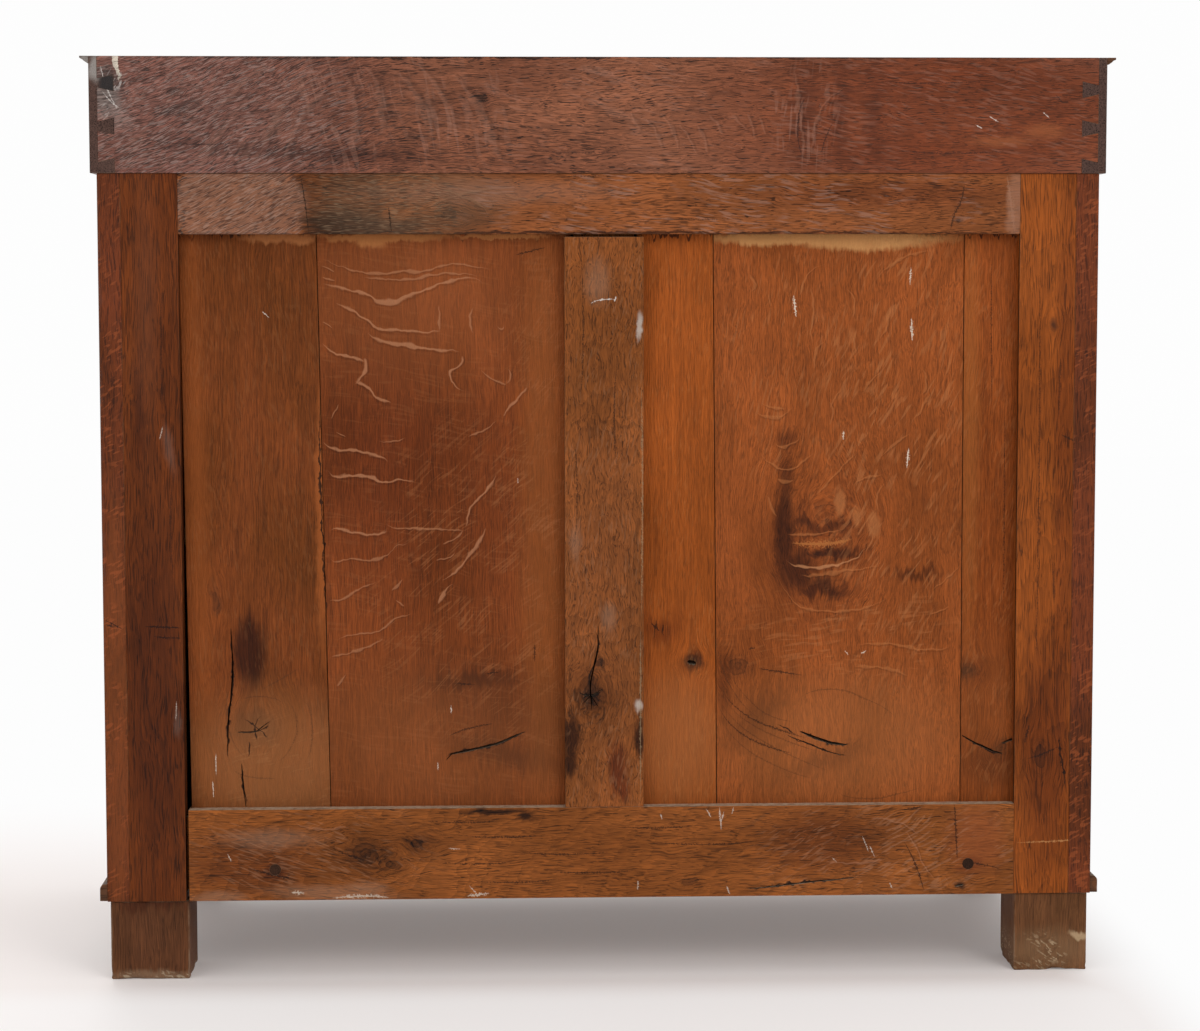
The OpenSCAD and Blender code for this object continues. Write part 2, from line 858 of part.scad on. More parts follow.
module side_tenons() {
    for (z = [[z_case + tenon_set, z_bottom_rail - tenon_set],
            [z_top_rail + tenon_set, z_frieze - tenon_set]])
        block(side_layer, [y_post - tenon_len, y_side_stile + tenon_len], z);
}

module side_grooves() {
    block(side_layer, [y_post - groove, y_side_stile + groove],
        [z_bottom_rail - groove, z_top_rail + groove]);
}

module side_stile(s) {
    color(wood)
        sided(s)
            difference() {
                block([x_side, x_case], [y_side_stile, y_back], [z_case, z_frieze]);
                side_tenons();
                side_grooves();
            }
}

module side_rails(s) {
    color(wood)
        sided(s)
            difference() {
                union() {
                    for (z = [[z_case, z_bottom_rail], [z_top_rail, z_frieze]])
                        block([x_side, x_case], [y_post, y_side_stile], z);
                    side_tenons();
                }
                side_grooves();
                case_bottom_block();
            }
}

module side_panel(s) {
    color(pale_wood)
        sided(s)
            block(side_layer, [y_post - groove + panel_play, y_side_stile + groove - panel_play],
                [z_bottom_rail - groove, z_top_rail + groove - panel_play]);
}

// Front of the case

module front_tenons() {
    for (z = [[z_case + tenon_set, z_case + front_bottom_rail_h - tenon_set],
            [z_frieze - front_top_rail_h + tenon_set, z_frieze - tenon_set]])
        block([-x_post - tenon_len, x_post + tenon_len], door_layer, z);
}

module front_post(s) {
    color(wood)
        difference() {
            sided(s)
                difference() {
                    block([x_post, x_case], [y_front, y_post], [z_case, z_frieze]);
                    side_tenons();
                    side_grooves();
                }
            front_tenons();
            foot_pins();
        }
}

module front_rails() {
    color(wood) {
        block([-x_post, x_post], [y_front, y_door_in], [z_case, z_case + front_bottom_rail_h]);
        block([-x_post, x_post], [y_front, y_door_in], [z_frieze - front_top_rail_h, z_frieze]);
        front_tenons();
    }
}

// Case bottom, shelf and cleats

module case_bottom_block() {
    right = [[x_post, y_door_in + bottom_gap], [x_post, y_post], [x_side + housing, y_post],
        [x_side + housing, y_side_stile], [x_side, y_side_stile], [x_side, y_back_in]];
    left = [for (i = [len(right) - 1 : -1 : 0]) [-right[i][0], right[i][1]]];
    translate([0, 0, z_board])
        linear_extrude(board_t)
            polygon(concat(right, left));
}

module case_bottom() {
    color(pale_wood)
        difference() {
            case_bottom_block();
            peg_holes();
        }
}

module shelf() {
    color(pale_wood)
        block([-x_side + shelf_play, x_side - shelf_play],
            [y_front + shelf_back, y_back_in - shelf_play],
            [z_shelf, z_shelf + board_t]);
}

module shelf_cleats() {
    color(pale_wood)
        for (s = [-1, 1])
            sided(s)
                block([x_side - cleat, x_side], [y_post, y_back_in], [z_shelf - cleat, z_shelf]);
}

// Doors, drawn on the right between the middle and the post

z_door_low = z_door + door_bottom_rail_h;
z_door_high = z_door_top - door_top_rail_h;
x_door_low = x_meet + door_stile_w;
x_door_high = x_door - door_stile_w;

module door_tenons() {
    for (z = [[z_door + tenon_set, z_door_low - tenon_set],
            [z_door_high + tenon_set, z_door_top - tenon_set]])
        block([x_door_low - tenon_len, x_door_high + tenon_len], door_layer, z);
}

module door_grooves() {
    block([x_door_low - groove, x_door_high + groove], door_layer,
        [z_door_low - groove, z_door_high + groove]);
}

// The keyhole: round for the shank, with a slot below it for the bit
module keyhole(y) {
    rod_y(x_key, z_key, keyhole_r, y);
    block([x_key - bit_t / 2 - key_fit, x_key + bit_t / 2 + key_fit], y,
        [z_key - bit_r - keyhole_low, z_key]);
}

module door_stiles(s) {
    color(wood)
        difference() {
            sided(s)
                difference() {
                    for (x = [[x_meet, x_door_low], [x_door_high, x_door]])
                        block(x, [y_front, y_door_in], [z_door, z_door_top]);
                    door_tenons();
                    door_grooves();
                }
            if (s > 0)
                keyhole([y_front - eps, y_door_in + eps]);
        }
}

module door_rails(s) {
    color(wood)
        sided(s)
            difference() {
                union() {
                    for (z = [[z_door, z_door_low], [z_door_high, z_door_top]])
                        block([x_door_low, x_door_high], [y_front, y_door_in], z);
                    door_tenons();
                }
                door_grooves();
            }
}

// A raised and fielded panel: a flat field inside four bevels, in the grooves of the frame
module door_panel(s) {
    x = [x_door_low, x_door_high];
    z = [z_door_low, z_door_high];
    y = door_layer[0];
    inset = bevel_edge + bevel_w;
    color(wood)
        sided(s) {
            block([x[0] - groove + panel_play, x[1] + groove - panel_play], door_layer,
                [z[0] - groove, z[1] + groove - panel_play]);
            intersection() {
                translate([0, 0, z[0]])
                    linear_extrude(z[1] - z[0])
                        polygon([[x[0] + bevel_edge, y + 1], [x[0] + bevel_edge, y],
                            [x[0] + inset, y - field_up], [x[1] - inset, y - field_up],
                            [x[1] - bevel_edge, y], [x[1] - bevel_edge, y + 1]]);
                slab_x(x)
                    polygon([[y + 1, z[0] + bevel_edge], [y, z[0] + bevel_edge],
                        [y - field_up, z[0] + inset], [y - field_up, z[1] - inset],
                        [y, z[1] - bevel_edge], [y + 1, z[1] - bevel_edge]]);
            }
        }
}

// Lift-off hinges: a fixed lower half with a pin, and an upper half that drops over it

hinge_z = [z_door + hinge_end, z_door_top - hinge_end];

module pintle() {
    translate([x_hinge, y_hinge, -hinge_h])
        cylinder(r = barrel_r, h = hinge_h);
    translate([x_hinge, y_hinge, -eps])
        cylinder(r = pin_r, h = hinge_h - pin_short);
    block([x_post - leaf_t, x_post], [y_hinge, y_front + leaf_in], [-hinge_h, 0]);
}

module upper_half() {
    difference() {
        union() {
            translate([x_hinge, y_hinge, half_gap])
                cylinder(r = barrel_r, h = hinge_h);
            block([x_door, x_door + leaf_t], [y_hinge, y_front + leaf_in],
                [half_gap, half_gap + hinge_h]);
        }
        translate([x_hinge, y_hinge, half_gap - eps])
            cylinder(r = pin_r + run_fit, h = hinge_h - hinge_cap);
    }
}

module hinge_pintles() {
    color(iron)
        for (s = [-1, 1], z = hinge_z)
            sided(s)
                translate([0, 0, z])
                    pintle();
}

module door_hinges(s) {
    color(iron)
        for (z = hinge_z)
            sided(s)
                translate([0, 0, z])
                    upper_half();
}

// Lock, bolt and key on the right door

module bolt_bar() {
    block([x_meet + bolt_back, lock_x + lock_w - lock_wall - bolt_room],
        [bolt_y, bolt_y + bolt_t], [z_bolt, z_bolt + bolt_h]);
}

module lock_case() {
    x = [lock_x, lock_x + lock_w];
    color(iron)
        difference() {
            block(x, [y_door_in, lock_y], [lock_low, lock_high]);
            block([x[0] + lock_wall, x[1] - lock_wall], [y_door_in - eps, lock_y - lock_wall],
                [lock_low + lock_wall, lock_high - lock_wall]);
            block([x[0] - eps, x[0] + lock_wall + eps],
                [bolt_y - slide_fit, bolt_y + bolt_t + slide_fit],
                [z_bolt - slide_fit, z_bolt + bolt_h + slide_fit]);
            rod_y(x_key, z_key, tip_r + run_fit, [lock_y - lock_wall - eps, lock_y + eps]);
        }
}

// The bolt has a stump under it that the key's bit pushes along
module lock_bolt() {
    color(iron) {
        bolt_bar();
        block([stump_x, stump_x + stump_w], [bolt_y, bolt_y + bolt_t], [z_bolt - stump_h, z_bolt]);
    }
}

module key() {
    ring_y = y_front - key_out + bow_r;
    color(brass) {
        rod_y(x_key, z_key, shank_r, [ring_y + bow_r - bow_bar, lock_y - lock_wall - slide_fit]);
        rod_y(x_key, z_key, tip_r, [lock_y - lock_wall - slide_fit - eps, lock_y]);
        block([x_key - bit_t / 2, x_key + bit_t / 2], [bolt_y, bolt_y + bolt_t],
            [z_key - bit_r, z_key]);
        translate([x_key, ring_y, z_key])
            rotate([0, 90, 0])
                rotate_extrude()
                    translate([bow_r - bow_bar, 0])
                        circle(r = bow_bar);
    }
}

module escutcheon() {
    y = [y_front - escutcheon_t, y_front];
    straight = escutcheon_h - escutcheon_w;
    z = z_key - escutcheon_low;
    color(brass)
        difference() {
            union() {
                for (d = [-straight / 2, straight / 2])
                    rod_y(x_key, z + d, escutcheon_w / 2, y);
                block([x_key - escutcheon_w / 2, x_key + escutcheon_w / 2], y,
                    [z - straight / 2, z + straight / 2]);
            }
            keyhole([y[0] - eps, y[1] + eps]);
        }
}

// Slide bolt on the left door, which goes up behind the front top rail

module slide_bolt() {
    color(iron) {
        block([x_slide - slide_w / 2, x_slide + slide_w / 2], [slide_y, slide_y + slide_t],
            [z_slide, z_slide + slide_len]);
        rod_y(x_slide, knob_h, slide_w / 2 - slide_knob_in,
            [slide_y, slide_y + slide_t + slide_knob_out]);
    }
}

module bolt_staples() {
    reach = slide_w / 2 + slide_fit;
    top = slide_y + slide_t + slide_fit;
    color(iron)
        for (d = [-slide_throw - staple_h - staple_room, slide_throw + staple_room])
            translate([0, 0, knob_h + d]) {
                for (s = [-1, 1])
                    translate([x_slide, 0, 0])
                        sided(s)
                            block([reach, reach + staple_t], [y_door_in, top + staple_t],
                                [0, staple_h]);
                block([x_slide - reach - staple_t, x_slide + reach + staple_t],
                    [top, top + staple_t], [0, staple_h]);
            }
}

// Base moulding: an upright band with a rounded upper edge
module base_mould_section() {
    difference() {
        polygon([[0, 0], [base_mould_out, 0], [base_mould_out, base_mould_h], [0, base_mould_h]]);
        difference() {
            translate([base_mould_out - base_mould_r, base_mould_h - base_mould_r])
                square(base_mould_r + 1);
            translate([base_mould_out - base_mould_r, base_mould_h - base_mould_r])
                circle(r = base_mould_r);
        }
    }
}

module base_mouldings() {
    color(dark_wood)
        translate([0, 0, z_case + base_mould_up])
            moulding_run(x_case, [y_front, y_back], base_mould_out)
                base_mould_section();
}

// Feet: square blocks with a round tenon into the post or stile above

foot_pin_front = [x_post + tenon_len + foot_pin_wall + foot_pin_r,
    y_post - tenon_len - foot_pin_back_wall - foot_pin_r];
foot_pin_back = [x_side - foot_pin_side - foot_pin_r, (y_back_in + y_back) / 2];

module foot_pins() {
    for (s = [-1, 1], at = [foot_pin_front, foot_pin_back])
        translate([s * at[0], at[1], z_case - eps])
            cylinder(r = foot_pin_r + run_fit, h = foot_pin_h + foot_hole_room);
}

module foot(s, y, w, at) {
    color(dark_wood) {
        sided(s)
            block([x_case - foot_in - w, x_case - foot_in], y, [0, z_case]);
        translate([s * at[0], at[1], z_case - eps])
            cylinder(r = foot_pin_r, h = foot_pin_h);
    }
}

foot_front_y = [y_front + foot_in, y_front + foot_in + foot_d];
foot_back_y = [y_back - foot_in - foot_d, y_back - foot_in];

frieze_back();
frieze_side(-1, left_pins);  // frieze_side_left
frieze_side(1, right_pins);  // frieze_side_right
frieze_front_rails();
frieze_divider();
top_panel();
top_mouldings();
drawer_floor();
drawer_guide();
drawer_front(-1);  // drawer_left_front
drawer_sides(-1);  // drawer_left_sides
drawer_back(-1);  // drawer_left_back
drawer_bottom(-1);  // drawer_left_bottom
drawer_knob(-1);  // drawer_left_knob
drawer_front(1);  // drawer_right_front
drawer_sides(1);  // drawer_right_sides
drawer_back(1);  // drawer_right_back
drawer_bottom(1);  // drawer_right_bottom
drawer_knob(1);  // drawer_right_knob
back_stile(-1);  // back_stile_left
back_stile(1);  // back_stile_right
back_top_rail();
back_bottom_rail();
back_muntin();
back_panel_left();
back_panel_right();
back_pegs();
side_stile(-1);  // side_left_stile
side_rails(-1);  // side_left_rails
side_panel(-1);  // side_left_panel
side_stile(1);  // side_right_stile
side_rails(1);  // side_right_rails
side_panel(1);  // side_right_panel
front_post(-1);  // front_post_left
front_post(1);  // front_post_right
front_rails();
case_bottom();
shelf();
shelf_cleats();
door_stiles(-1);  // door_left_stiles
door_rails(-1);  // door_left_rails
door_panel(-1);  // door_left_panel
door_stiles(1);  // door_right_stiles
door_rails(1);  // door_right_rails
door_panel(1);  // door_right_panel
hinge_pintles();
door_hinges(-1);  // door_left_hinges
door_hinges(1);  // door_right_hinges
lock_case();
lock_bolt();
key();
escutcheon();
slide_bolt();
bolt_staples();
base_mouldings();
foot(-1, foot_back_y, foot_narrow_w, foot_pin_back);  // foot_back_left
foot(1, foot_back_y, foot_w, foot_pin_back);  // foot_back_right
foot(-1, foot_front_y, foot_w, foot_pin_front);  // foot_front_left
foot(1, foot_front_y, foot_w, foot_pin_front);  // foot_front_right
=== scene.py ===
import json
import math

import bmesh
import bpy
from mathutils import Matrix, Vector, noise


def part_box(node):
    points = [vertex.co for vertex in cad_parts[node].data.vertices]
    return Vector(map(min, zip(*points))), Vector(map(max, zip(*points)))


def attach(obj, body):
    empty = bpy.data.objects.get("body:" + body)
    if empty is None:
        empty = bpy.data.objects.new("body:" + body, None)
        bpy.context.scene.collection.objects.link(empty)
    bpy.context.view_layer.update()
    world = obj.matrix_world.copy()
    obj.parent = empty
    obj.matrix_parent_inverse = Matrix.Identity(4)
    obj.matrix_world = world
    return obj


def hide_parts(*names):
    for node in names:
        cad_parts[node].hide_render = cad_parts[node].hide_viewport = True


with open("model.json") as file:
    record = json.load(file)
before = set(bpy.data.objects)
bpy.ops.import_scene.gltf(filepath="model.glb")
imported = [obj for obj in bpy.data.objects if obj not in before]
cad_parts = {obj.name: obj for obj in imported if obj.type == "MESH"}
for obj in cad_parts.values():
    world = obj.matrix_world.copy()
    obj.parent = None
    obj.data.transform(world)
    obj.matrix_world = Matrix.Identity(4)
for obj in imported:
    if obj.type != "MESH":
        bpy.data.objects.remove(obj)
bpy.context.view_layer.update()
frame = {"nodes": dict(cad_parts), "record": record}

# ---- Back frame: two stiles, two rails and a muntin ------------------------------------------------
# Oak boards from an old beam, planed by hand and never polished, dry and dusty at the back.
# They are tenoned into each other, and two oak pegs go through the bottom rail.

MM = 1000              # millimetres in a metre
BACK_FACE = 274        # mm, the face of the back frame
THROUGH = 90000        # mm, half the depth of a mark, so that it goes right through a board
WELD = 2e-6            # m, corners of the CAD triangles nearer than this are one corner
FLAT = 0.01            # radians, faces that meet flatter than this are one face
SHARP = 0.6            # radians, an edge sharper than this is an arris that wears round


def linear(hex_colour):
    """An sRGB colour written as hex, as the linear values that a shader reads."""
    values = [int(hex_colour[i:i + 2], 16) / 255 for i in (1, 3, 5)]
    return [v / 12.92 if v <= 0.04045 else ((v + 0.055) / 1.055) ** 2.4 for v in values] + [1.0]


def add(tree, kind, inputs=None, out=0, **settings):
    """One shader node with its settings, and its inputs as constants or links; gives one output."""
    made = tree.nodes.new("ShaderNode" + kind)
    for key, value in settings.items():
        setattr(made, key, value)
    for key, value in (inputs or {}).items():
        if isinstance(value, bpy.types.NodeSocket):
            tree.links.new(value, made.inputs[key])
        else:
            made.inputs[key].default_value = value
    return made.outputs[out] if made.outputs else None


def bare_material(name):
    """A new material with no nodes yet, and its node tree."""
    material = bpy.data.materials.new(name)
    material.use_nodes = True
    material.node_tree.nodes.clear()
    return material, material.node_tree


def wander(tree, at, seen_at, scale, detail, reach, roughness=0.5):
    """A place moved about by soft noise, so that nothing drawn there is ruled straight."""
    drift = add(tree, "TexNoise", {"Vector": seen_at, "Scale": scale, "Detail": detail,
                                   "Roughness": roughness}, out="Color")
    drift = add(tree, "VectorMath", {0: drift, 1: (0.5, 0.5, 0.5)}, operation="SUBTRACT")
    return add(tree, "VectorMath", {0: drift, 1: reach, 2: at}, operation="MULTIPLY_ADD")


def distance(tree, at, x, z, half_x, half_z, turn):
    """How far a place is from the middle of an oval mark on the board; 1 is on its rim."""
    local = add(tree, "Mapping", {0: at, 1: (x, 0, z), 2: (0, math.radians(-turn), 0),
                                  3: (half_x, THROUGH, half_z)}, vector_type="TEXTURE")
    return add(tree, "VectorMath", {0: local}, out=1, operation="LENGTH")


def blot(tree, at, mark):
    """0 to 1: a soft patch with its middle, half sizes, turn and softness, as if soaked into the wood."""
    *oval, soft = mark
    far = distance(tree, at, *oval)
    return add(tree, "MapRange", {0: far, 1: 1 + soft, 2: 1 - soft}, interpolation_type="SMOOTHSTEP")


# One drawn line: a mask that is thin at both ends, and one of the painted shade beside a raised line,
# each joined to the lines before it. It is one group, because a board has dozens of them.
line_kind = bpy.data.node_groups.new("Drawn line", "ShaderNodeTree")
for socket in ("Part", "Line", "Across", "Span", "Low", "Rough", "Aside", "Mask so far", "Below so far"):
    line_kind.interface.new_socket(socket, in_out="INPUT", socket_type="NodeSocketFloat")
for socket in ("Mask", "Below"):
    line_kind.interface.new_socket(socket, in_out="OUTPUT", socket_type="NodeSocketFloat")
given = line_kind.nodes.new("NodeGroupInput").outputs
middle = add(line_kind, "Math", {0: given["Line"], 1: given["Span"], 2: given["Low"]},
             operation="MULTIPLY_ADD")
off = add(line_kind, "Math", {0: given["Across"], 1: middle}, operation="SUBTRACT")
fade = add(line_kind, "Math", {0: given["Part"], 1: 2.0}, operation="POWER")
fade = add(line_kind, "Math", {0: given["Part"], 1: fade}, operation="SUBTRACT")
fade = add(line_kind, "Math", {0: fade}, operation="SQRT")
fade = add(line_kind, "Math", {0: fade, 1: 3.0}, operation="MULTIPLY")
beside = add(line_kind, "Math", {0: off, 1: given["Aside"]}, operation="ADD")
found = line_kind.nodes.new("NodeGroupOutput").inputs
for socket, side, so_far in (("Mask", off, "Mask so far"), ("Below", beside, "Below so far")):
    near = add(line_kind, "Math", {0: side}, operation="ABSOLUTE")
    near = add(line_kind, "Math", {0: near, 1: given["Rough"], 2: fade}, operation="MULTIPLY_ADD")
    near = add(line_kind, "MapRange", {0: near, 1: 0.0, 2: 0.8})
    near = add(line_kind, "Math", {0: near, 1: given[so_far]}, operation="MAXIMUM")
    line_kind.links.new(near, found[socket])


def drawn(tree, x, z, points, width, rough, so_far):
    """One line through points on the face, as a ray, crack or scratch lies, added to those so far."""
    wide = max(p[0] for p in points) - min(p[0] for p in points)
    high = max(p[1] for p in points) - min(p[1] for p in points)
    along, across, a, b = (x, z, 0, 1) if wide >= high else (z, x, 1, 0)
    points = sorted(points, key=lambda p: p[a])
    start, end = points[0][a], points[-1][a]
    low = min(p[b] for p in points) - 1
    span = max(p[b] for p in points) + 1 - low
    part = add(tree, "MapRange", {0: along, 1: start - 0.01, 2: end + 0.01})
    line = add(tree, "FloatCurve", {1: part})
    curve = line.node.mapping.curves[0]
    for i, p in enumerate(points):
        spot = ((p[a] - start) / (end - start), (p[b] - low) / span)
        if i == 0:
            curve.points[0].location = spot
        elif i == len(points) - 1:
            curve.points[len(curve.points) - 1].location = spot
        else:
            curve.points.new(*spot)
    line.node.mapping.update()
    return add(tree, "Group", {"Part": part, "Line": line, "Across": across, "Span": span, "Low": low,
                               "Rough": rough, "Aside": 0.5 * width + 0.4, "Mask so far": so_far[0],
                               "Below so far": so_far[1]}, node_tree=line_kind).node.outputs


def oak(name, grain, pale, dark, seed=0, pith=(0, -110), cone=0.03, pitch=4.0, ring=0.3, pore=0.5,
        dash=(16, 1.3), flow=3, wave=(60, 1.2), fibre=0.3, flecks=(), fleck_tint="#b07a50",
        rough=0.66, sheen=0.14, knots=(), stains_and_shade=(), blots=(), rays=(), lines=(), face=None, dust=0.5,
        dust_tint="#a08e78", wear=0.35, wear_tint="#8f6544", lean=None):
    """Oak: rings round a pith, pores drawn out along the grain, pale flecks across it, and its marks.

    Sizes are millimetres. grain names the axes along the grain, across the board and through it.
    pith, cone, pitch: where the tree's heart lies, how it tapers, how wide a year is.
    ring, pore, fibre: how dark the late wood, the pores and the fibres are; dash is a pore's size.
    flow, wave, lean: how the grain wanders, wavers and climbs.
    knots: (x, z, half sizes, turn, how dark its heart is).
    stains, blots: (colour, strength, marks) that darken or cover the wood, see blot; some are painted
    shade.
    flecks: (length, width, turn, strength, patch or None, own colour if it has one).
    rays, lines: (colour, strength, width, runs of points); a strength below 0 is a crack, in painted shade.
    rough, sheen: how dull the surface is, and how much it reflects.
    face: how far back the face lies, or None; edges and crack walls 1 to 8 mm behind it get painted shade.
    dust, wear: how thick dust lies on what faces up, and how pale the arrises are, with their tints."""
    material, tree = bare_material(name)
    spot = add(tree, "TexCoord", out="Object")
    spot = add(tree, "VectorMath", {0: spot, 1: (MM, MM, MM)}, operation="MULTIPLY")
    split = add(tree, "SeparateXYZ", {0: spot}).node.outputs
    axes = [split["XYZ".index(a)] for a in grain]
    shift = (seed * 61.3, seed * 27.1, seed * 39.7)
    uneven = wander(tree, spot, spot, 0.045, 4.0, (14, 0, 14), 0.62)
    gentle = wander(tree, spot, spot, 0.014, 1.0, (18, 0, 18))

    # The grain wanders slowly, wavers a little, and bends round each knot
    own = add(tree, "CombineXYZ", dict(enumerate(axes)))
    for size, swing, turned in (((0.0035, 0.012, 0.012), flow, shift),
                                ((1 / wave[0], 0.04, 0.04), wave[1], shift[::-1])):
        slow = add(tree, "VectorMath", {0: own, 1: size, 2: turned}, operation="MULTIPLY_ADD")
        own = wander(tree, own, slow, 1.0, 2.0, (0, swing * 6, swing * 6))
    if lean:
        start, end, rise = lean
        rise = add(tree, "MapRange", {0: axes[0], 1: start, 2: end, 4: rise},
                   interpolation_type="SMOOTHERSTEP")
        rise = add(tree, "CombineXYZ", {1: rise})
        own = add(tree, "VectorMath", {0: own, 1: rise}, operation="ADD")
    hearts = []
    for *oval, heart in knots:
        far = distance(tree, uneven, *oval)
        nearby = add(tree, "MapRange", {0: far, 1: 3.4, 2: 0.8, 4: -0.62}, interpolation_type="SMOOTHSTEP")
        push = add(tree, "Math", {0: axes[1], 1: oval["XZ".index(grain[1])]}, operation="SUBTRACT")
        push = add(tree, "Math", {0: push, 1: nearby}, operation="MULTIPLY")
        push = add(tree, "CombineXYZ", {1: push})
        own = add(tree, "VectorMath", {0: own, 1: push}, operation="ADD")
        hearts.append((far, min(oval[2:4]), heart))
    radial = add(tree, "VectorMath", {0: own, 1: (0, pith[0], pith[1])}, operation="SUBTRACT")
    radial = add(tree, "VectorMath", {0: radial, 1: (0, 1, 1)}, operation="MULTIPLY")
    rings = add(tree, "VectorMath", {0: radial}, out=1, operation="LENGTH")
    rings = add(tree, "Math", {0: axes[0], 1: cone, 2: rings}, operation="MULTIPLY_ADD")
    bold = 0.0
    for far, half, heart in hearts:
        inside = add(tree, "MapRange", {0: far, 1: 1.7, 2: 0.9}, interpolation_type="SMOOTHSTEP")
        circles = add(tree, "Math", {0: far, 1: half * 1.1}, operation="MULTIPLY")
        rings = add(tree, "Mix", {0: inside, 2: rings, 3: circles})
        bold = add(tree, "Math", {0: inside, 1: -0.4, 2: bold}, operation="MULTIPLY_ADD")

    # Each year is pale and porous first, then dense and dark; no two are as wide or as dark
    years = add(tree, "Math", {0: rings, 1: 1 / pitch}, operation="MULTIPLY")
    widths = add(tree, "Math", {0: years, 1: 0.35}, operation="MULTIPLY")
    widths = add(tree, "TexNoise", {"W": widths, "Scale": 1.0, "Detail": 2.0}, noise_dimensions="1D")
    years = add(tree, "Math", {0: widths, 1: 3.0, 2: years}, operation="MULTIPLY_ADD")
    late = add(tree, "Math", {0: years}, operation="FRACT")
    which = add(tree, "Math", {0: years}, operation="FLOOR")
    which = add(tree, "TexWhiteNoise", {"W": which}, noise_dimensions="1D")
    which = add(tree, "MapRange", {0: which, 3: -0.3 * ring, 4: -1.3 * ring})
    which = add(tree, "Math", {0: which, 1: bold}, operation="ADD")
    early = add(tree, "MapRange", {0: late, 1: 0.6, 2: 0.1, 3: -0.05, 4: 0.05})
    late = add(tree, "Math", {0: late, 1: 0.45}, operation="SUBTRACT")

    # Broad change of colour, streaks, fibre, and the pores, drawn coarser than real so that they show
    layers = []
    for size, detail, low, high in (((0.005, 0.011, 0.011), 3.0, 0.38, 0.62),
                                    ((0.010, 0.20, 0.20), 2.0, 0.3, 0.7),
                                    ((0.02, 1.1, 1.1), 2.0, 0.39, 0.61)):
        layer = add(tree, "VectorMath", {0: own, 1: size, 2: shift[::-1]}, operation="MULTIPLY_ADD")
        layer = add(tree, "TexNoise", {"Vector": layer, "Scale": 1.0, "Detail": detail})
        layers.append(add(tree, "MapRange", {0: layer, 1: low, 2: high}))
    broad, streak, thread = layers
    cells = add(tree, "VectorMath", {0: own, 1: (1 / dash[0], 1 / dash[1], 1 / dash[1]), 2: shift},
                operation="MULTIPLY_ADD")
    cells = add(tree, "TexNoise", {"Vector": cells, "Scale": 1.0, "Detail": 1.0, "Roughness": 0.4})
    cells = add(tree, "Math", {0: cells, 1: early}, operation="ADD")
    cells = add(tree, "MapRange", {0: cells, 1: 0.54, 2: 0.60})

    colour = add(tree, "Mix", {0: broad, 6: linear(pale), 7: linear(dark)}, out=2, data_type="RGBA")
    shade = add(tree, "Math", {0: late, 1: which, 2: 1.0 - fibre / 2 - 0.11}, operation="MULTIPLY_ADD")
    shade = add(tree, "Math", {0: streak, 1: 0.22, 2: shade}, operation="MULTIPLY_ADD")
    shade = add(tree, "Math", {0: thread, 1: fibre, 2: shade}, operation="MULTIPLY_ADD")
    shade = add(tree, "Math", {0: cells, 1: -pore, 2: shade}, operation="MULTIPLY_ADD")
    colour = add(tree, "VectorMath", {0: colour, 3: shade}, operation="SCALE")

    for far, half, heart in hearts:
        core = add(tree, "MapRange", {0: far, 1: 1.25, 2: 0.35, 4: heart})
        colour = add(tree, "Mix", {0: core, 6: colour, 7: linear("#2a170d")}, out=2, data_type="RGBA")

    # Some stains are thin lines of painted shade, where an edge or a rail throws a shadow.
    # Stains darken what is under them, and patches cover it; both creep along the fibres at their edges
    creep = add(tree, "Math", {0: streak, 1: 0.5}, operation="SUBTRACT")
    creep = add(tree, "VectorMath", {0: tuple(float(a == grain[0]) for a in "XYZ"), 3: creep},
                operation="SCALE")
    for how, kinds, reach in (("MULTIPLY", stains_and_shade, 16), ("MIX", blots, 3.5)):
        ragged = add(tree, "VectorMath", {0: creep, 1: (reach, 0, reach), 2: uneven},
                     operation="MULTIPLY_ADD")
        for tint, amount, marks in kinds:
            spread = None
            for mark in marks:
                one = blot(tree, ragged, mark)
                if spread is not None:
                    one = add(tree, "Math", {0: spread, 1: one}, operation="MAXIMUM")
                spread = one
            spread = add(tree, "Math", {0: spread, 1: amount}, operation="MULTIPLY")
            colour = add(tree, "Mix", {0: spread, 6: colour, 7: linear(tint)}, out=2, data_type="RGBA",
                         blend_type=how)

    # Flecks of ray in clusters: short pale strokes, each with a dark rim of painted shade as if raised
    groups = add(tree, "VectorMath", {0: spot, 1: (0.03, 0.03, 0.03), 2: shift}, operation="MULTIPLY_ADD")
    groups = add(tree, "TexNoise", {"Vector": groups, "Scale": 1.0, "Detail": 2.0})
    groups = add(tree, "MapRange", {0: groups, 1: 0.42, 2: 0.56})
    for length, width, turn, amount, mark, *tint in flecks:
        lay = add(tree, "Mapping", {0: gentle, 1: shift, 2: (0, math.radians(-turn), 0),
                                    3: (length, length, width)}, vector_type="TEXTURE")
        stroke = add(tree, "TexNoise", {"Vector": lay, "Scale": 1.0, "Detail": 1.0, "Roughness": 0.4})
        where = groups
        if mark:
            # Fine hatch covers the whole of its patch, wider flecks come in clusters
            where = blot(tree, uneven, mark)
            if width > 1.5:
                where = add(tree, "Math", {0: where, 1: groups}, operation="MULTIPLY")
        light = add(tree, "MapRange", {0: stroke, 1: 0.55, 2: 0.63, 4: amount})
        # The rim is painted shade round the fleck.
        rim = add(tree, "MapRange", {0: stroke, 1: 0.50, 2: 0.56, 4: amount})
        rim = add(tree, "Math", {0: rim, 1: light}, operation="SUBTRACT")
        rim = add(tree, "Math", {0: rim, 1: where}, operation="MULTIPLY")
        rim = add(tree, "Math", {0: rim, 1: -0.25, 2: 1.0}, operation="MULTIPLY_ADD")
        colour = add(tree, "VectorMath", {0: colour, 3: rim}, operation="SCALE")
        light = add(tree, "Math", {0: light, 1: where}, operation="MULTIPLY")
        colour = add(tree, "Mix", {0: light, 6: colour, 7: linear(tint[0] if tint else fleck_tint)}, out=2,
                     data_type="RGBA")
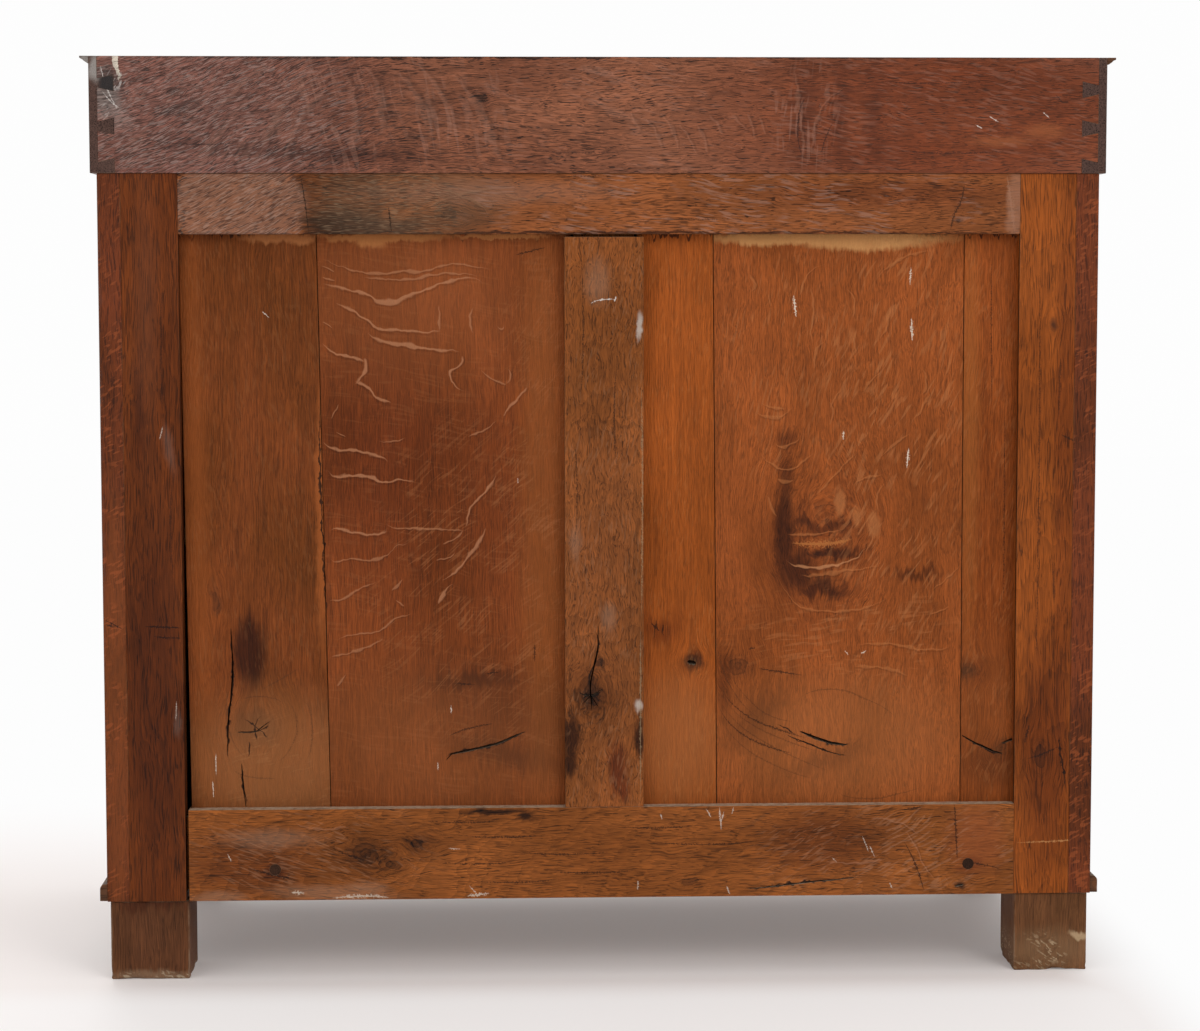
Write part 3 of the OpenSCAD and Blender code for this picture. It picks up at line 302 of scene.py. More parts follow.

    # Rays and scratches drawn one by one; cracks are deep, and dark with painted shade
    height = add(tree, "Math", {0: cells, 1: -0.8, 2: thread}, operation="MULTIPLY_ADD")
    if rays or lines:
        bent = wander(tree, spot, spot, 0.09, 1.5, (6, 0, 6))
        bent = add(tree, "SeparateXYZ", {0: bent}).node.outputs
        widths = []
        for size, detail, low, high, thick, thin in ((0.07, 0.5, 0.35, 0.62, 0.75, 2.2),
                                                     (0.2, 2.0, 0.35, 0.62, 0.6, 2.4),
                                                     (0.55, 2.0, 0.42, 0.58, 0.9, 4.0)):
            width = add(tree, "TexNoise", {"Vector": spot, "Scale": size, "Detail": detail})
            widths.append(add(tree, "MapRange", {0: width, 1: low, 2: high, 3: thick, 4: thin}))
        girth, jagged, crumbs = widths
    for kinds, raised in ((rays, True), (lines, False)):
        for tint, amount, width, runs in kinds:
            strokes, painted_shades = 0.0, 0.0
            # A ray or a crack wanders and its width changes; a scratch is straight
            rough_edge = girth if raised else jagged if amount < 0 else crumbs
            rough_edge = add(tree, "Math", {0: rough_edge, 1: -2.0 / width}, operation="MULTIPLY")
            x_at, z_at = (bent[0], bent[2]) if raised or amount < 0 else (split[0], split[2])
            for run in runs:
                strokes, painted_shades = drawn(tree, x_at, z_at, run, width, rough_edge, (strokes, painted_shades))
            if raised:
                # A raised ray gets painted shade along one side.
                painted_shades = add(tree, "Math", {0: painted_shades, 1: -0.2, 2: 1.0}, operation="MULTIPLY_ADD")
                colour = add(tree, "VectorMath", {0: colour, 3: painted_shades}, operation="SCALE")
                height = add(tree, "Math", {0: strokes, 1: 0.25, 2: height}, operation="MULTIPLY_ADD")
            elif amount < 0:
                height = add(tree, "Math", {0: strokes, 1: -3.0, 2: height}, operation="MULTIPLY_ADD")
            # A crack's near-black colour is painted shade for its depth.
            strokes = add(tree, "Math", {0: strokes, 1: abs(amount)}, operation="MULTIPLY")
            colour = add(tree, "Mix", {0: strokes, 6: colour, 7: linear(tint)}, out=2, data_type="RGBA")

    # Painted shade in the joints and cracks, a lighter worn arris, and dust on what faces up
    # Faces 1 to 8 mm behind the board's face are painted near black: the shade deep in joints and cracks.
    if face is not None:
        depth = add(tree, "Math", {0: split[1], 1: face - 4.2}, operation="SUBTRACT")
        depth = add(tree, "Math", {0: depth}, operation="ABSOLUTE")
        depth = add(tree, "MapRange", {0: depth, 1: 3.6, 2: 2.7, 4: 0.85})
        colour = add(tree, "Mix", {0: depth, 6: colour, 7: linear("#1c0f08")}, out=2, data_type="RGBA")
    normal = add(tree, "NewGeometry", out="Normal")
    normal = add(tree, "VectorTransform", {0: normal}, vector_type="NORMAL", convert_from="WORLD",
                 convert_to="OBJECT")
    turned = add(tree, "VectorMath", {0: normal}, operation="ABSOLUTE")
    sides = add(tree, "SeparateXYZ", {0: turned}).node.outputs
    flattest = add(tree, "Math", {0: sides[0], 1: sides[1]}, operation="MAXIMUM")
    flattest = add(tree, "Math", {0: flattest, 1: sides[2]}, operation="MAXIMUM")
    edge = add(tree, "MapRange", {0: flattest, 1: 0.995, 2: 0.85})
    patchy = add(tree, "TexNoise", {"Vector": spot, "Scale": 0.02, "Detail": 4.0, "Roughness": 0.7})
    patchy = add(tree, "MapRange", {0: patchy, 1: 0.42, 2: 0.62, 4: wear})
    edge = add(tree, "Math", {0: edge, 1: patchy}, operation="MULTIPLY")
    colour = add(tree, "Mix", {0: edge, 6: colour, 7: linear(wear_tint)}, out=2, data_type="RGBA")
    up = add(tree, "SeparateXYZ", {0: normal}).node.outputs[2]
    up = add(tree, "MapRange", {0: up, 1: 0.6, 2: 0.95, 4: dust})
    specks = add(tree, "TexNoise", {"Vector": spot, "Scale": 0.15, "Detail": 3.0, "Roughness": 0.7})
    specks = add(tree, "MapRange", {0: specks, 1: 0.35, 2: 0.6, 3: 0.4, 4: 1.0})
    up = add(tree, "Math", {0: up, 1: specks}, operation="MULTIPLY")
    colour = add(tree, "Mix", {0: up, 6: colour, 7: linear(dust_tint)}, out=2, data_type="RGBA")

    bump = add(tree, "Bump", {"Height": height, "Strength": 0.5, "Distance": 0.0007})
    gloss = add(tree, "MapRange", {0: broad, 3: rough - 0.06, 4: rough + 0.08})
    gloss = add(tree, "Math", {0: up, 1: 0.3, 2: gloss}, operation="MULTIPLY_ADD")
    surface = add(tree, "BsdfPrincipled", {"Base Color": colour, "Roughness": gloss, "Normal": bump,
                                           "IOR": 1.5, "Specular IOR Level": sheen})
    add(tree, "OutputMaterial", {0: surface})
    return material


def made_of(bm, name):
    """A new object in the scene from the faces drawn in bm, which is given up."""
    mesh = bpy.data.meshes.new(name)
    bm.to_mesh(mesh)
    bm.free()
    piece = bpy.data.objects.new(name, mesh)
    bpy.context.scene.collection.objects.link(piece)
    return piece


CLEAR = 3              # mm, how far a cutter starts above the face
POINTED = 0.25         # how wide the bottom of a crack is, as a share of its top


def slit(bm, points, width, depth, face):
    """A cutter for one crack: a long lens on the face, drawn down into the wood and narrowing."""
    points = [Vector((p[0], p[1])) for p in points]
    if points[0].x > points[-1].x:
        points.reverse()
    lengths = [0.0]
    for p, q in zip(points, points[1:]):
        lengths.append(lengths[-1] + (q - p).length)
    ring = bmesh.ops.create_circle(bm, cap_ends=True, segments=40, radius=1)["verts"]

    def spot(part, off, y):
        reach = part * lengths[-1]
        i = max(k for k in range(len(points) - 1) if lengths[k] <= reach)
        step = (points[i + 1] - points[i]) / (lengths[i + 1] - lengths[i])
        at = points[i] + step * (reach - lengths[i])
        rough = 1 + 0.5 * noise.noise(Vector((at.x * 0.35, at.y * 0.35, off * 3)))
        side = Vector((-step.y, step.x)) * off * width / 2 * rough
        return Vector(((at.x + side.x) / MM, y / MM, (at.y + side.y) / MM))

    place = {v: (min(max((v.co.x + 1) / 2, 0), 1), v.co.y) for v in ring}
    for v in ring:
        v.co = spot(place[v][0], place[v][1], face + CLEAR)
    cap = [f for f in bm.faces if all(v in place for v in f.verts)]
    grown = bmesh.ops.extrude_face_region(bm, geom=cap, use_keep_orig=True)["geom"]
    low = [g for g in grown if isinstance(g, bmesh.types.BMVert)]
    for v, was in zip(low, [min(ring, key=lambda r: (r.co - v.co).length) for v in low]):
        v.co = spot(place[was][0], place[was][1] * POINTED, face - depth)


def worn(node, materials, arris=0.8, cuts=(), face=BACK_FACE, pick=None):
    """The CAD solid with its arrises worn round and its cracks cut in, in place of the plain solid."""
    source = frame["nodes"][node]
    bm = bmesh.new()
    bm.from_mesh(source.data)
    bmesh.ops.remove_doubles(bm, verts=bm.verts, dist=WELD)
    bmesh.ops.dissolve_limit(bm, angle_limit=FLAT, verts=bm.verts, edges=bm.edges)
    for flat in bm.faces:
        flat.smooth = False
    sharp = [e for e in bm.edges if e.is_manifold and e.calc_face_angle() > SHARP]
    rounded = bmesh.ops.bevel(bm, geom=sharp, offset=arris / MM, segments=2, affect="EDGES", profile=0.5,
                              material=-1, clamp_overlap=True)
    for polygon in rounded["faces"]:
        polygon.smooth = True
    piece = made_of(bm, node + "_worn")
    if cuts:
        blades = bmesh.new()
        for points, width, depth in cuts:
            slit(blades, points, width, depth, face)
        bmesh.ops.recalc_face_normals(blades, faces=blades.faces)
        knife = made_of(blades, "knife")
        boolean = piece.modifiers.new("cracks", "BOOLEAN")
        boolean.operation = "DIFFERENCE"
        boolean.object = knife
        boolean.solver = "EXACT"
        boolean.use_self = True
        bpy.context.view_layer.update()
        graph = bpy.context.evaluated_depsgraph_get()
        cut_mesh = bpy.data.meshes.new_from_object(piece.evaluated_get(graph))
        piece.modifiers.clear()
        piece.data = cut_mesh
        bpy.data.objects.remove(knife)
    mesh = piece.data
    mesh.materials.clear()
    for material in materials:
        mesh.materials.append(material)
    for polygon in mesh.polygons:
        polygon.material_index = pick(polygon.center * MM) if pick else 0
    body = [b for b, names in frame["record"]["behaviour"]["bodies"].items() if node in names][0]
    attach(piece, body)
    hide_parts(node)
    return piece


# Oak turned dark with age and never oiled: long dark pores, nearly no gloss.
stile_right = oak(
    "Oak, right back stile", "ZXY", "#6c330b", "#5d2a08", seed=1, pith=(600, -60), cone=0.05, pitch=6,
    ring=0.42, pore=0.5, dash=(30, 1.3), flow=3, wave=(70, 1.6), face=BACK_FACE, rough=0.6,
    lines=[
        ("#160a06", 0.85, 3.0, [[(503, 395), (487, 394), (462, 393)],
            [(494, 384), (476, 382), (462, 382)]]),
        ("#2a150d", 0.5, 2.4, [[(478, 773), (481, 700), (480, 621)], [(470, 560), (473, 500), (470, 450)]]),
        ("#c9bdb0", 0.6, 1.4, [[(469, 312), (470, 290)], [(480, 615), (484, 600)]])],
    stains_and_shade=[("#a08c84", 0.6, [(492, 300, 34, 190, 0, 0.6)]), ("#8c7468", 0.5, [(506, 640, 6, 60, 0, 0.7)])],
    blots=[
        ("#9a8a80", 0.12, [(474, 590, 5, 22, -10, 0.8), (468, 288, 4, 14, 0, 0.6)]),
        ("#7c4c34", 0.2, [(497, 740, 12, 120, 0, 0.9)])])
worn("back_stile_right", [stile_right])

# The same oak from a redder plank, with the tall arches of a slab-cut board.
stile_left = oak(
    "Oak, left back stile", "ZXY", "#934b15", "#814010", seed=2, pith=(-520, -90), cone=0.12, pitch=7,
    ring=0.38, pore=0.45, dash=(30, 1.3), flow=3, wave=(80, 1.8), face=BACK_FACE, rough=0.6,
    knots=[(-500, 725, 5, 8, 0, 0.8), (-491, 242, 10, 20, 0, 0.5)],
    lines=[
        ("#150a05", -0.95, 2.2, [[(-511, 266), (-514, 237), (-517, 223), (-514, 205)]]),
        ("#24120b", 0.8, 3.4, [[(-509, 603), (-527, 595), (-543, 590)],
            [(-474, 240), (-495, 247), (-510, 254)], [(-477, 279), (-472, 258)]]),
        ("#c08a55", 0.6, 2.4, [[(-464, 146), (-501, 147), (-549, 150)]]),
        ("#2a160c", 0.6, 2.2, [[(-501, 470), (-504, 414)], [(-483, 800), (-485, 560), (-484, 330)],
            [(-508, 700), (-506, 620)]])],
    stains_and_shade=[
        ("#9c8578", 0.6, [(-495, 250, 30, 120, 0, 0.6)]), ("#bda89a", 0.5, [(-515, 560, 12, 300, 0, 0.5)])])
worn("back_stile_left", [stile_left])

# Three looks on one board: pale worn end, a spill dried in olive brown, and clean brown wood.
top_rail = oak(
    "Oak, top rail", "XZY", "#91532b", "#7e4723", seed=3, pith=(860, -90), cone=0.06, pitch=5, ring=0.36,
    pore=0.62, dash=(14, 0.95), flow=4, wave=(60, 1.6), face=BACK_FACE, rough=0.64,
    knots=[(164, 847, 10, 7, 20, 0.55), (128, 854, 12, 5, 0, 0.2), (-393, 840, 5, 3, 0, 0.8)],
    lean=(300, 480, 60),
    flecks=[
        (10, 1.1, 158, 0.7, (397, 857, 72, 90, 0, 0.1), "#40271e"),
        (9, 1.0, 154, 0.3, (397, 857, 72, 90, 0, 0.1), "#b09484"),
        (16, 1.1, 3, 0.6, (240, 857, 90, 80, 0, 0.3), "#281a10"),
        (12, 1.1, 178, 0.25, (240, 857, 80, 80, 0, 0.3), "#a08468"),
        (20, 2.4, 8, 0.3, (-150, 857, 300, 50, 0, 0.2))],
    fleck_tint="#a07f70",
    stains_and_shade=[
        ("#8a8680", 0.9, [(286, 836, 40, 13, 0, 0.4), (244, 832, 48, 8, 0, 0.5)]),
        ("#c0bcae", 0.9, [(283, 858, 44, 120, 0, 0.05), (150, 842, 38, 16, 0, 0.5)]),
        # The stain at z 825, a thin dark line along the lower edge, is painted shade.
        ("#3c2e26", 0.95, [(460.5, 858, 1.6, 60, 0, 0.3)]), ("#5c4a40", 0.8, [(0, 825, 470, 1.6, 0, 0.4)]),
        ("#e8e8e0", 0.8, [(200, 860, 90, 40, 0, 0.4)]), ("#b49c8c", 0.6, [(-320, 868, 130, 16, 0, 0.7)])],
    blots=[
        ("#8a6858", 0.5, [(395, 857, 73, 50, 0, 0.12)]),
        ("#3c2c1e", 0.5, [(286, 840, 34, 18, 0, 0.5), (240, 836, 50, 10, 0, 0.6)]),
        ("#84664e", 0.25, [(205, 862, 100, 40, 0, 0.4)]), ("#8b6a5a", 0.3, [(120, 870, 120, 12, 0, 0.7)]),
        ("#9c7058", 0.5, [(-455, 857, 9, 40, 4, 0.3)])],
    rays=[
        ("#8a6a50", 0.25, 3.0, [[(170, 872), (150, 864), (128, 852), (120, 828)],
            [(190, 854), (155, 866), (111, 876)], [(262, 880), (235, 872), (205, 874)],
            [(105, 870), (84, 862), (60, 866)]])],
    lines=[
        ("#2b1a10", 0.75, 3.4, [[(-399, 880), (-396, 862), (-388, 845), (-384, 828)]]),
        ("#20140a", 0.85, 2.2, [[(328, 890), (323, 860), (319, 824)], [(232, 854), (229, 825)]]),
        ("#9b7058", 0.5, 6.0, [[(-446, 888), (-451, 855), (-455, 826)]]),
        ("#24160d", 0.6, 1.8, [[(46, 886), (14, 887), (-20, 886)],
            [(-60, 842), (-120, 840), (-160, 843)]])])
worn("back_top_rail", [top_rail])

# Knotty wood near the heart, tight wavy rings, greyed where it was handled.
muntin = oak(
    "Oak, muntin", "ZXY", "#985626", "#844b20", seed=4, pith=(-12, -52), cone=0.16, pitch=4.6, ring=0.4,
    pore=0.45, dash=(18, 1.2), flow=4, wave=(34, 2.6), fibre=0.34, face=BACK_FACE, rough=0.66,
    knots=[(12, 316, 15, 17, 0, 0.75), (0, 352, 7, 6, 0, 0.75)],
    flecks=[(14, 2.2, 100, 0.25, None)], fleck_tint="#9a6a48",
    stains_and_shade=[
        ("#d4ccb8", 0.5, [(0, 720, 60, 130, 0, 0.5)]),
        ("#6e655e", 0.95, [(34, 268, 9, 26, 0, 0.5), (36, 240, 7, 14, 0, 0.5), (-42, 268, 5, 24, 0, 0.5)]),
        ("#a87c66", 0.8, [(-18, 232, 10, 28, 0, 0.6), (-24, 210, 7, 13, 0, 0.6)]),
        ("#b0a698", 0.6, [(12, 316, 26, 30, 0, 0.8)]), ("#dcdce4", 0.9, [(0, 400, 60, 220, 0, 0.5)])],
    blots=[
        ("#b9aea4", 0.8, [(-41, 722, 3, 13, 0, 0.6), (-40, 303, 4, 6, 0, 0.6)]),
        ("#a48670", 0.22, [(4, 772, 12, 22, 0, 0.7), (-8, 402, 8, 14, 0, 0.7), (28, 486, 6, 18, 0, 0.7)])],
    lines=[
        ("#140b06", -0.95, 2.6, [[(6, 387), (4, 368), (8, 350), (13, 331), (12, 316), (10, 299)],
            [(26, 320), (12, 315), (-2, 322)], [(23, 303), (12, 315), (2, 302)]]),
        ("#4c2e1a", 0.5, 2.2, [[(30, 331), (34, 309), (27, 284)], [(-11, 331), (-17, 308), (-11, 284)],
            [(19, 292), (8, 284), (-4, 291)], [(18, 340), (5, 344), (-8, 338)]]),
        ("#a08868", 0.45, 2.4, [[(-44, 660), (-45, 531), (-44, 400)], [(-43, 390), (-43, 200)]]),
        ("#2a180d", 0.7, 2.0, [[(22, 800), (20, 720), (24, 640)], [(-18, 690), (-14, 620), (-20, 560)],
            [(30, 600), (27, 540), (31, 480)]]),
        ("#d8d2ca", 0.75, 2.0, [[(12, 748), (2, 752), (-14, 753)], [(-14, 750), (-16, 756)]])])
worn("back_muntin", [muntin],
     cuts=[([(4, 392), (4, 368), (8, 350), (13, 327), (11, 298)], 2.6, 6),
           ([(25, 317), (12, 315), (-1, 322)], 1.8, 4), ([(3, 301), (12, 315), (22, 305)], 1.8, 4)])

# Oak with wild grain between small knots; dust lies on its upper edge, lime wash on the lower.
bottom_rail = oak(
    "Oak, bottom rail", "XZY", "#935322", "#7e461b", seed=5, pith=(60, -50), cone=0.22, pitch=5, ring=0.42,
    pore=0.5, dash=(22, 1.2), flow=4, wave=(60, 2.2), fibre=0.34, face=BACK_FACE, rough=0.62, dust=0.9,
    dust_tint="#b49d86",
    knots=[
        (262, 140, 22, 15, 10, 0.5), (232, 127, 14, 8, 0, 0.5), (205, 150, 12, 8, 0, 0.5),
        (-400, 98, 7, 4, 0, 0.9), (-98, 105, 10, 5, 0, 0.6), (-290, 81, 9, 6, 0, 0.6)],
    flecks=[
        (16, 2.4, 150, 0.3, (-330, 140, 150, 60, 0, 0.5)),
        (18, 2.4, 20, 0.25, (330, 140, 120, 60, 0, 0.5))],
    fleck_tint="#a8795a",
    stains_and_shade=[
        ("#a09a90", 0.7, [(262, 138, 34, 20, 0, 0.9), (205, 150, 24, 12, 0, 0.9)]),
        ("#b0a294", 0.8, [(390, 128, 76, 34, 0, 0.6), (-250, 150, 70, 34, 0, 0.7)]),
        ("#54504c", 0.9, [(118, 186, 34, 3, 0, 0.6), (84, 181, 10, 5, 0, 0.6)]),
        ("#b09480", 0.7, [(362, 122, 13, 11, 0, 0.6), (-410, 123, 12, 10, 0, 0.6)])],
    blots=[
        ("#9c7c66", 0.3, [(366, 157, 44, 9, 0, 0.9), (300, 95, 60, 7, 3, 0.7), (262, 100, 24, 7, 0, 0.6),
            (425, 92, 26, 6, 0, 0.6)]), ("#8e4b28", 0.5, [(-420, 150, 30, 34, 0, 0.6)])],
    rays=[
        ("#a9775a", 0.3, 3.0, [[(-338, 160), (-352, 140), (-362, 118), (-378, 104)],
            [(-300, 176), (-330, 170), (-352, 158)], [(-250, 128), (-285, 124), (-318, 130)],
            [(340, 176), (310, 168), (280, 171)]])],
    lines=[
        ("#170d08", -0.95, 2.8, [[(-162, 96), (-202, 100), (-240, 104), (-284, 108)]]),
        ("#1d0f08", 0.8, 3.0, [[(-338, 148), (-350, 124), (-361, 92)],
            [(-394, 193), (-396, 159), (-398, 125)], [(-406, 125), (-428, 121), (-447, 116)],
            [(-336, 184), (-357, 187)], [(302, 148), (280, 138), (258, 131)],
            [(391, 124), (362, 116), (336, 110)]]),
        ("#20110a", 0.75, 2.2, [[(196, 176), (150, 174), (112, 176)], [(160, 160), (110, 157), (60, 160)],
            [(90, 140), (40, 137), (-10, 140)], [(180, 130), (140, 127), (96, 129)],
            [(60, 118), (10, 116), (-40, 119)], [(-20, 168), (-60, 166), (-110, 169)],
            [(-60, 150), (-120, 147), (-170, 150)], [(140, 108), (100, 106), (50, 109)]]),
        ("#d0c4b6", 0.6, 2.0, [[(-116, 187), (-122, 177)], [(-131, 189), (-133, 162)],
            [(-132, 168), (-136, 184)], [(-147, 189), (-145, 181)], [(-65, 182), (-67, 175)],
            [(-139, 100), (-143, 90)], [(-40, 107), (-40, 96)], [(-291, 155), (-298, 137)],
            [(-299, 144), (-305, 131)], [(-257, 131), (-263, 125)], [(415, 141), (411, 132)],
            [(148, 103), (139, 93)], [(-322, 102), (-325, 95)], [(171, 145), (157, 144)]]),
        ("#c3b3a2", 0.8, 4.0, [[(300, 90), (262, 92), (236, 90)], [(150, 91), (125, 94)],
            [(330, 96), (345, 97)]])])
worn("back_bottom_rail", [bottom_rail], arris=1.1,
     cuts=[([(-160, 96), (-202, 100), (-240, 104), (-286, 108)], 2.0, 5),
           ([(-395, 97), (-405, 99)], 3.4, 4)])

# Split oak seen end on: darker than the board it sits in, because end grain drinks dirt.
peg_oak = oak(
    "Oak, peg end", "YXZ", "#402718", "#2c190e", seed=6, ring=0.4, pore=0.5, rough=0.7, wear=0.1)
worn("back_pegs", [peg_oak], arris=0.4)

# ---- Back panels -----------------------------------------------------------------------------------
# Riven and planed oak boards, butted side by side in the grooves of the frame. The ones cut towards
# the heart show big pale rays; the stain of old varnish stops short under the top rail.

PANEL_FACE = 258       # mm, the face of the panels

# The rays of the wide boards, as runs of (x, z) on the face: fine ones and broad ones on the right
# board, one kind on the left board, and the open joint beside the right one.
RIGHT_RAYS = [
    [(306, 798), (290, 791), (268, 784), (243, 781), (217, 784), (196, 784), (177, 789), (159, 792),
        (141, 789), (120, 785)], [(261, 776), (236, 775), (206, 775), (185, 780), (163, 781), (135, 776)],
    [(300, 470), (291, 464), (275, 467), (256, 465), (238, 470), (225, 482), (214, 484)],
    [(301, 420), (286, 423), (271, 431), (249, 442)], [(306, 790), (292, 783)], [(306, 776), (292, 774)],
    [(292, 377), (272, 383), (250, 386), (227, 401), (209, 406)],
    [(300, 357), (287, 360), (264, 368), (242, 377)], [(306, 729), (295, 721)], [(298, 623), (289, 637)],
    [(142, 744), (144, 729), (140, 716)], [(178, 745), (177, 732), (178, 719)],
    [(132, 676), (116, 663), (104, 659)], [(115, 723), (110, 719), (105, 725)], [(294, 325), (283, 338)],
    [(244, 597), (230, 596), (215, 601)], [(147, 602), (130, 608), (115, 619)],
    [(238, 506), (223, 501), (190, 500), (151, 498)], [(175, 483), (160, 490), (152, 500)],
    [(182, 465), (165, 470), (162, 480)], [(233, 431), (219, 444)], [(227, 420), (218, 414)],
    [(103, 660), (100, 670), (103, 676)], [(292, 608), (281, 603)]]
RIGHT_BROAD_RAYS = [
    [(306, 769), (280, 764), (254, 758), (238, 750), (214, 756), (188, 765), (166, 773), (148, 776),
        (130, 767)], [(291, 749), (272, 740), (258, 731), (240, 721), (218, 719), (196, 717), (176, 719)],
    [(258, 719), (240, 707), (200, 700), (156, 696)], [(108, 624), (82, 657)],
    [(307, 705), (291, 693), (277, 690), (260, 684)], [(260, 689), (259, 676), (264, 667), (270, 661)],
    [(270, 664), (253, 652), (244, 643), (231, 639)],
    [(153, 690), (155, 680), (166, 672), (160, 658), (149, 652)],
    [(307, 599), (292, 588), (270, 587), (252, 583), (235, 574)],
    [(301, 568), (290, 558), (270, 560), (252, 556), (241, 551), (223, 554), (208, 552)],
    [(300, 498), (289, 500), (274, 496), (256, 494), (237, 499)],
    [(149, 503), (146, 519), (127, 543), (115, 559)], [(177, 442), (161, 453), (148, 467), (127, 502)],
    [(179, 416), (175, 428), (164, 438)]]
SPLIT = [[(310, 641), (310, 575), (309, 531), (308, 494), (305, 420), (304, 386)]]

# Plain brown oak with a star-cracked knot and the dark stain that leaks from it.
board_a = oak(
    "Oak, outer right board", "ZXY", "#783c15", "#663410", seed=11, pith=(700, -10), cone=0.01, pitch=4.0,
    ring=0.16, pore=0.22, dash=(14, 0.85), flow=3, fibre=0.4, face=PANEL_FACE, rough=0.68,
    flecks=[(12, 2.4, 80, 0.12, None), (16, 2.4, 165, 0.3, (360, 230, 90, 60, 0, 0.4))],
    fleck_tint="#95633c",
    knots=[(383, 280, 20, 19, 0, 0.7), (427, 421, 6, 15, 0, 0.5)],
    stains_and_shade=[
        # The first stain, a thin dark line at z 825 along the top, is painted shadow of the top rail.
        ("#4c3c30", 0.85, [(380, 825, 90, 2.2, 0, 0.4)]), ("#84766e", 0.92, [(389, 360, 17, 42, 0, 0.4)]),
        ("#a4968a", 0.8, [(383, 281, 26, 24, 0, 0.5)]), ("#a09080", 0.7, [(383, 281, 20, 16, 0, 0.9)])],
    blots=[
        ("#944e1f", 0.5, [(446, 560, 12, 300, -1, 0.8)]), ("#9a6238", 0.55, [(366, 240, 90, 70, 0, 0.6)]),
        ("#a2663a", 0.8, [(350, 820, 42, 5, 0, 0.4), (330, 819, 14, 6, 0, 0.4)]),
        ("#9c5526", 0.7, [(309, 510, 6, 130, 0, 0.5)])],
    lines=[
        ("#4a2c1a", 0.45, 2.4, [[(413, 323), (416, 295), (409, 265), (392, 244)],
            [(350, 311), (338, 283), (346, 255), (368, 239)], [(410, 233), (390, 224), (362, 222)],
            [(334, 311), (321, 277), (331, 238)], [(376, 322), (356, 333), (334, 346)],
            [(400, 311), (376, 314), (351, 303)]]),
        ("#150b06", -0.95, 2.6, [[(410, 391), (409, 369), (408, 346), (411, 309), (414, 287), (415, 246)],
            [(400, 239), (398, 216), (395, 193)]]),
        ("#1d100a", -0.9, 2.0, [[(404, 274), (383, 275), (367, 287)], [(392, 264), (391, 253), (393, 246)],
            [(378, 292), (384, 280), (383, 266)], [(396, 290), (383, 280), (370, 268)]]),
        ("#170c06", -0.9, 2.4, SPLIT),
        ("#dcd2c4", 0.7, 1.7, [[(428, 251), (428, 226)], [(432, 220), (431, 201)],
            [(372, 740), (364, 733)]])])
# Quarter-cut oak: the big rays lie across it as pale, slightly raised ribbons.
board_b = oak(
    "Oak, wide right board", "ZXY", "#803f17", "#6f3612", seed=12, pith=(900, 0), cone=0.008, pitch=4.5,
    ring=0.12, pore=0.22, dash=(14, 0.85), flow=2.5, fibre=0.4, face=PANEL_FACE, rough=0.66,
    flecks=[
        (30, 2.6, 140, 0.26, (130, 440, 120, 170, 0, 0.5)), (16, 2.0, 128, 0.2, (70, 640, 50, 170, 0, 0.5)),
        (30, 3.0, 8, 0.1, None)],
    fleck_tint="#a3683f",
    stains_and_shade=[
        # The first stain, a thin dark line at z 825 along the top, is painted shadow of the top rail.
        ("#4c3c30", 0.85, [(175, 825, 140, 2.2, 0, 0.4)]),
        ("#98887a", 0.85, [(107, 248, 60, 13, 15, 0.8), (140, 330, 44, 9, -4, 0.8)]),
        ("#b8a48c", 0.7, [(110, 300, 90, 40, 20, 0.8)]), ("#ccb8a4", 0.4, [(250, 640, 60, 140, 0, 0.7)]),
        ("#d6c6a8", 0.6, [(190, 540, 130, 120, 0, 0.7)])],
    blots=[
        ("#96552e", 0.35, [(215, 760, 120, 90, 0, 0.8)]), ("#915324", 0.4, [(62, 520, 26, 330, 0, 0.6)]),
        ("#86502a", 0.35, [(180, 260, 150, 80, 0, 0.6)]),
        ("#a86c3c", 0.85, [(235, 821, 70, 5, 0, 0.4), (252, 817, 16, 7, 0, 0.4),
            (110, 822, 50, 3, 0, 0.3)])],
    rays=[("#a56e4b", 0.6, 2.6, RIGHT_RAYS), ("#ac7552", 0.68, 4.2, RIGHT_BROAD_RAYS)],
    lines=[
        ("#150a05", -0.9, 2.0, SPLIT),
        ("#120905", -0.95, 3.6, [[(172, 242), (167, 248), (147, 252), (117, 259), (84, 273)]]),
        ("#241208", 0.75, 2.8, [[(170, 268), (150, 276), (120, 282)], [(112, 340), (128, 338)],
            [(140, 326), (165, 327)], [(60, 810), (95, 801)], [(74, 372), (74, 350)]]),
        ("#dcd2c4", 0.7, 1.7, [[(92, 556), (92, 550)], [(167, 303), (167, 293)],
            [(182, 239), (182, 230)]])])
# Clean, straight, orange oak with one dead knot.
board_c = oak(
    "Oak, narrow left board", "ZXY", "#a05119", "#8c4614", seed=13, pith=(-900, 0), cone=0.01, pitch=4.0,
    ring=0.14, pore=0.18, dash=(14, 0.85), flow=2, fibre=0.36, face=PANEL_FACE, rough=0.66,
    flecks=[(12, 2.0, 100, 0.15, None)], fleck_tint="#b0733f", knots=[(-101, 349, 10, 9, 0, 0.9)],
    stains_and_shade=[
        # The first stain, a thin dark line at z 825 along the top, is painted shadow of the top rail.
        ("#4c3c30", 0.85, [(-90, 825, 60, 2.2, 0, 0.4)]), ("#8a8078", 0.85, [(-101, 349, 12, 10, 0, 0.7)]),
        ("#b8a898", 0.7, [(-66, 386, 18, 14, 0, 0.9)])],
    blots=[("#a06236", 0.5, [(-86, 260, 50, 70, 0, 0.6)])],
    lines=[
        ("#24130a", -0.85, 1.8, [[(-62, 397), (-61, 385), (-59, 376)], [(-68, 392), (-70, 378)],
            [(-56, 392), (-66, 384)]])])
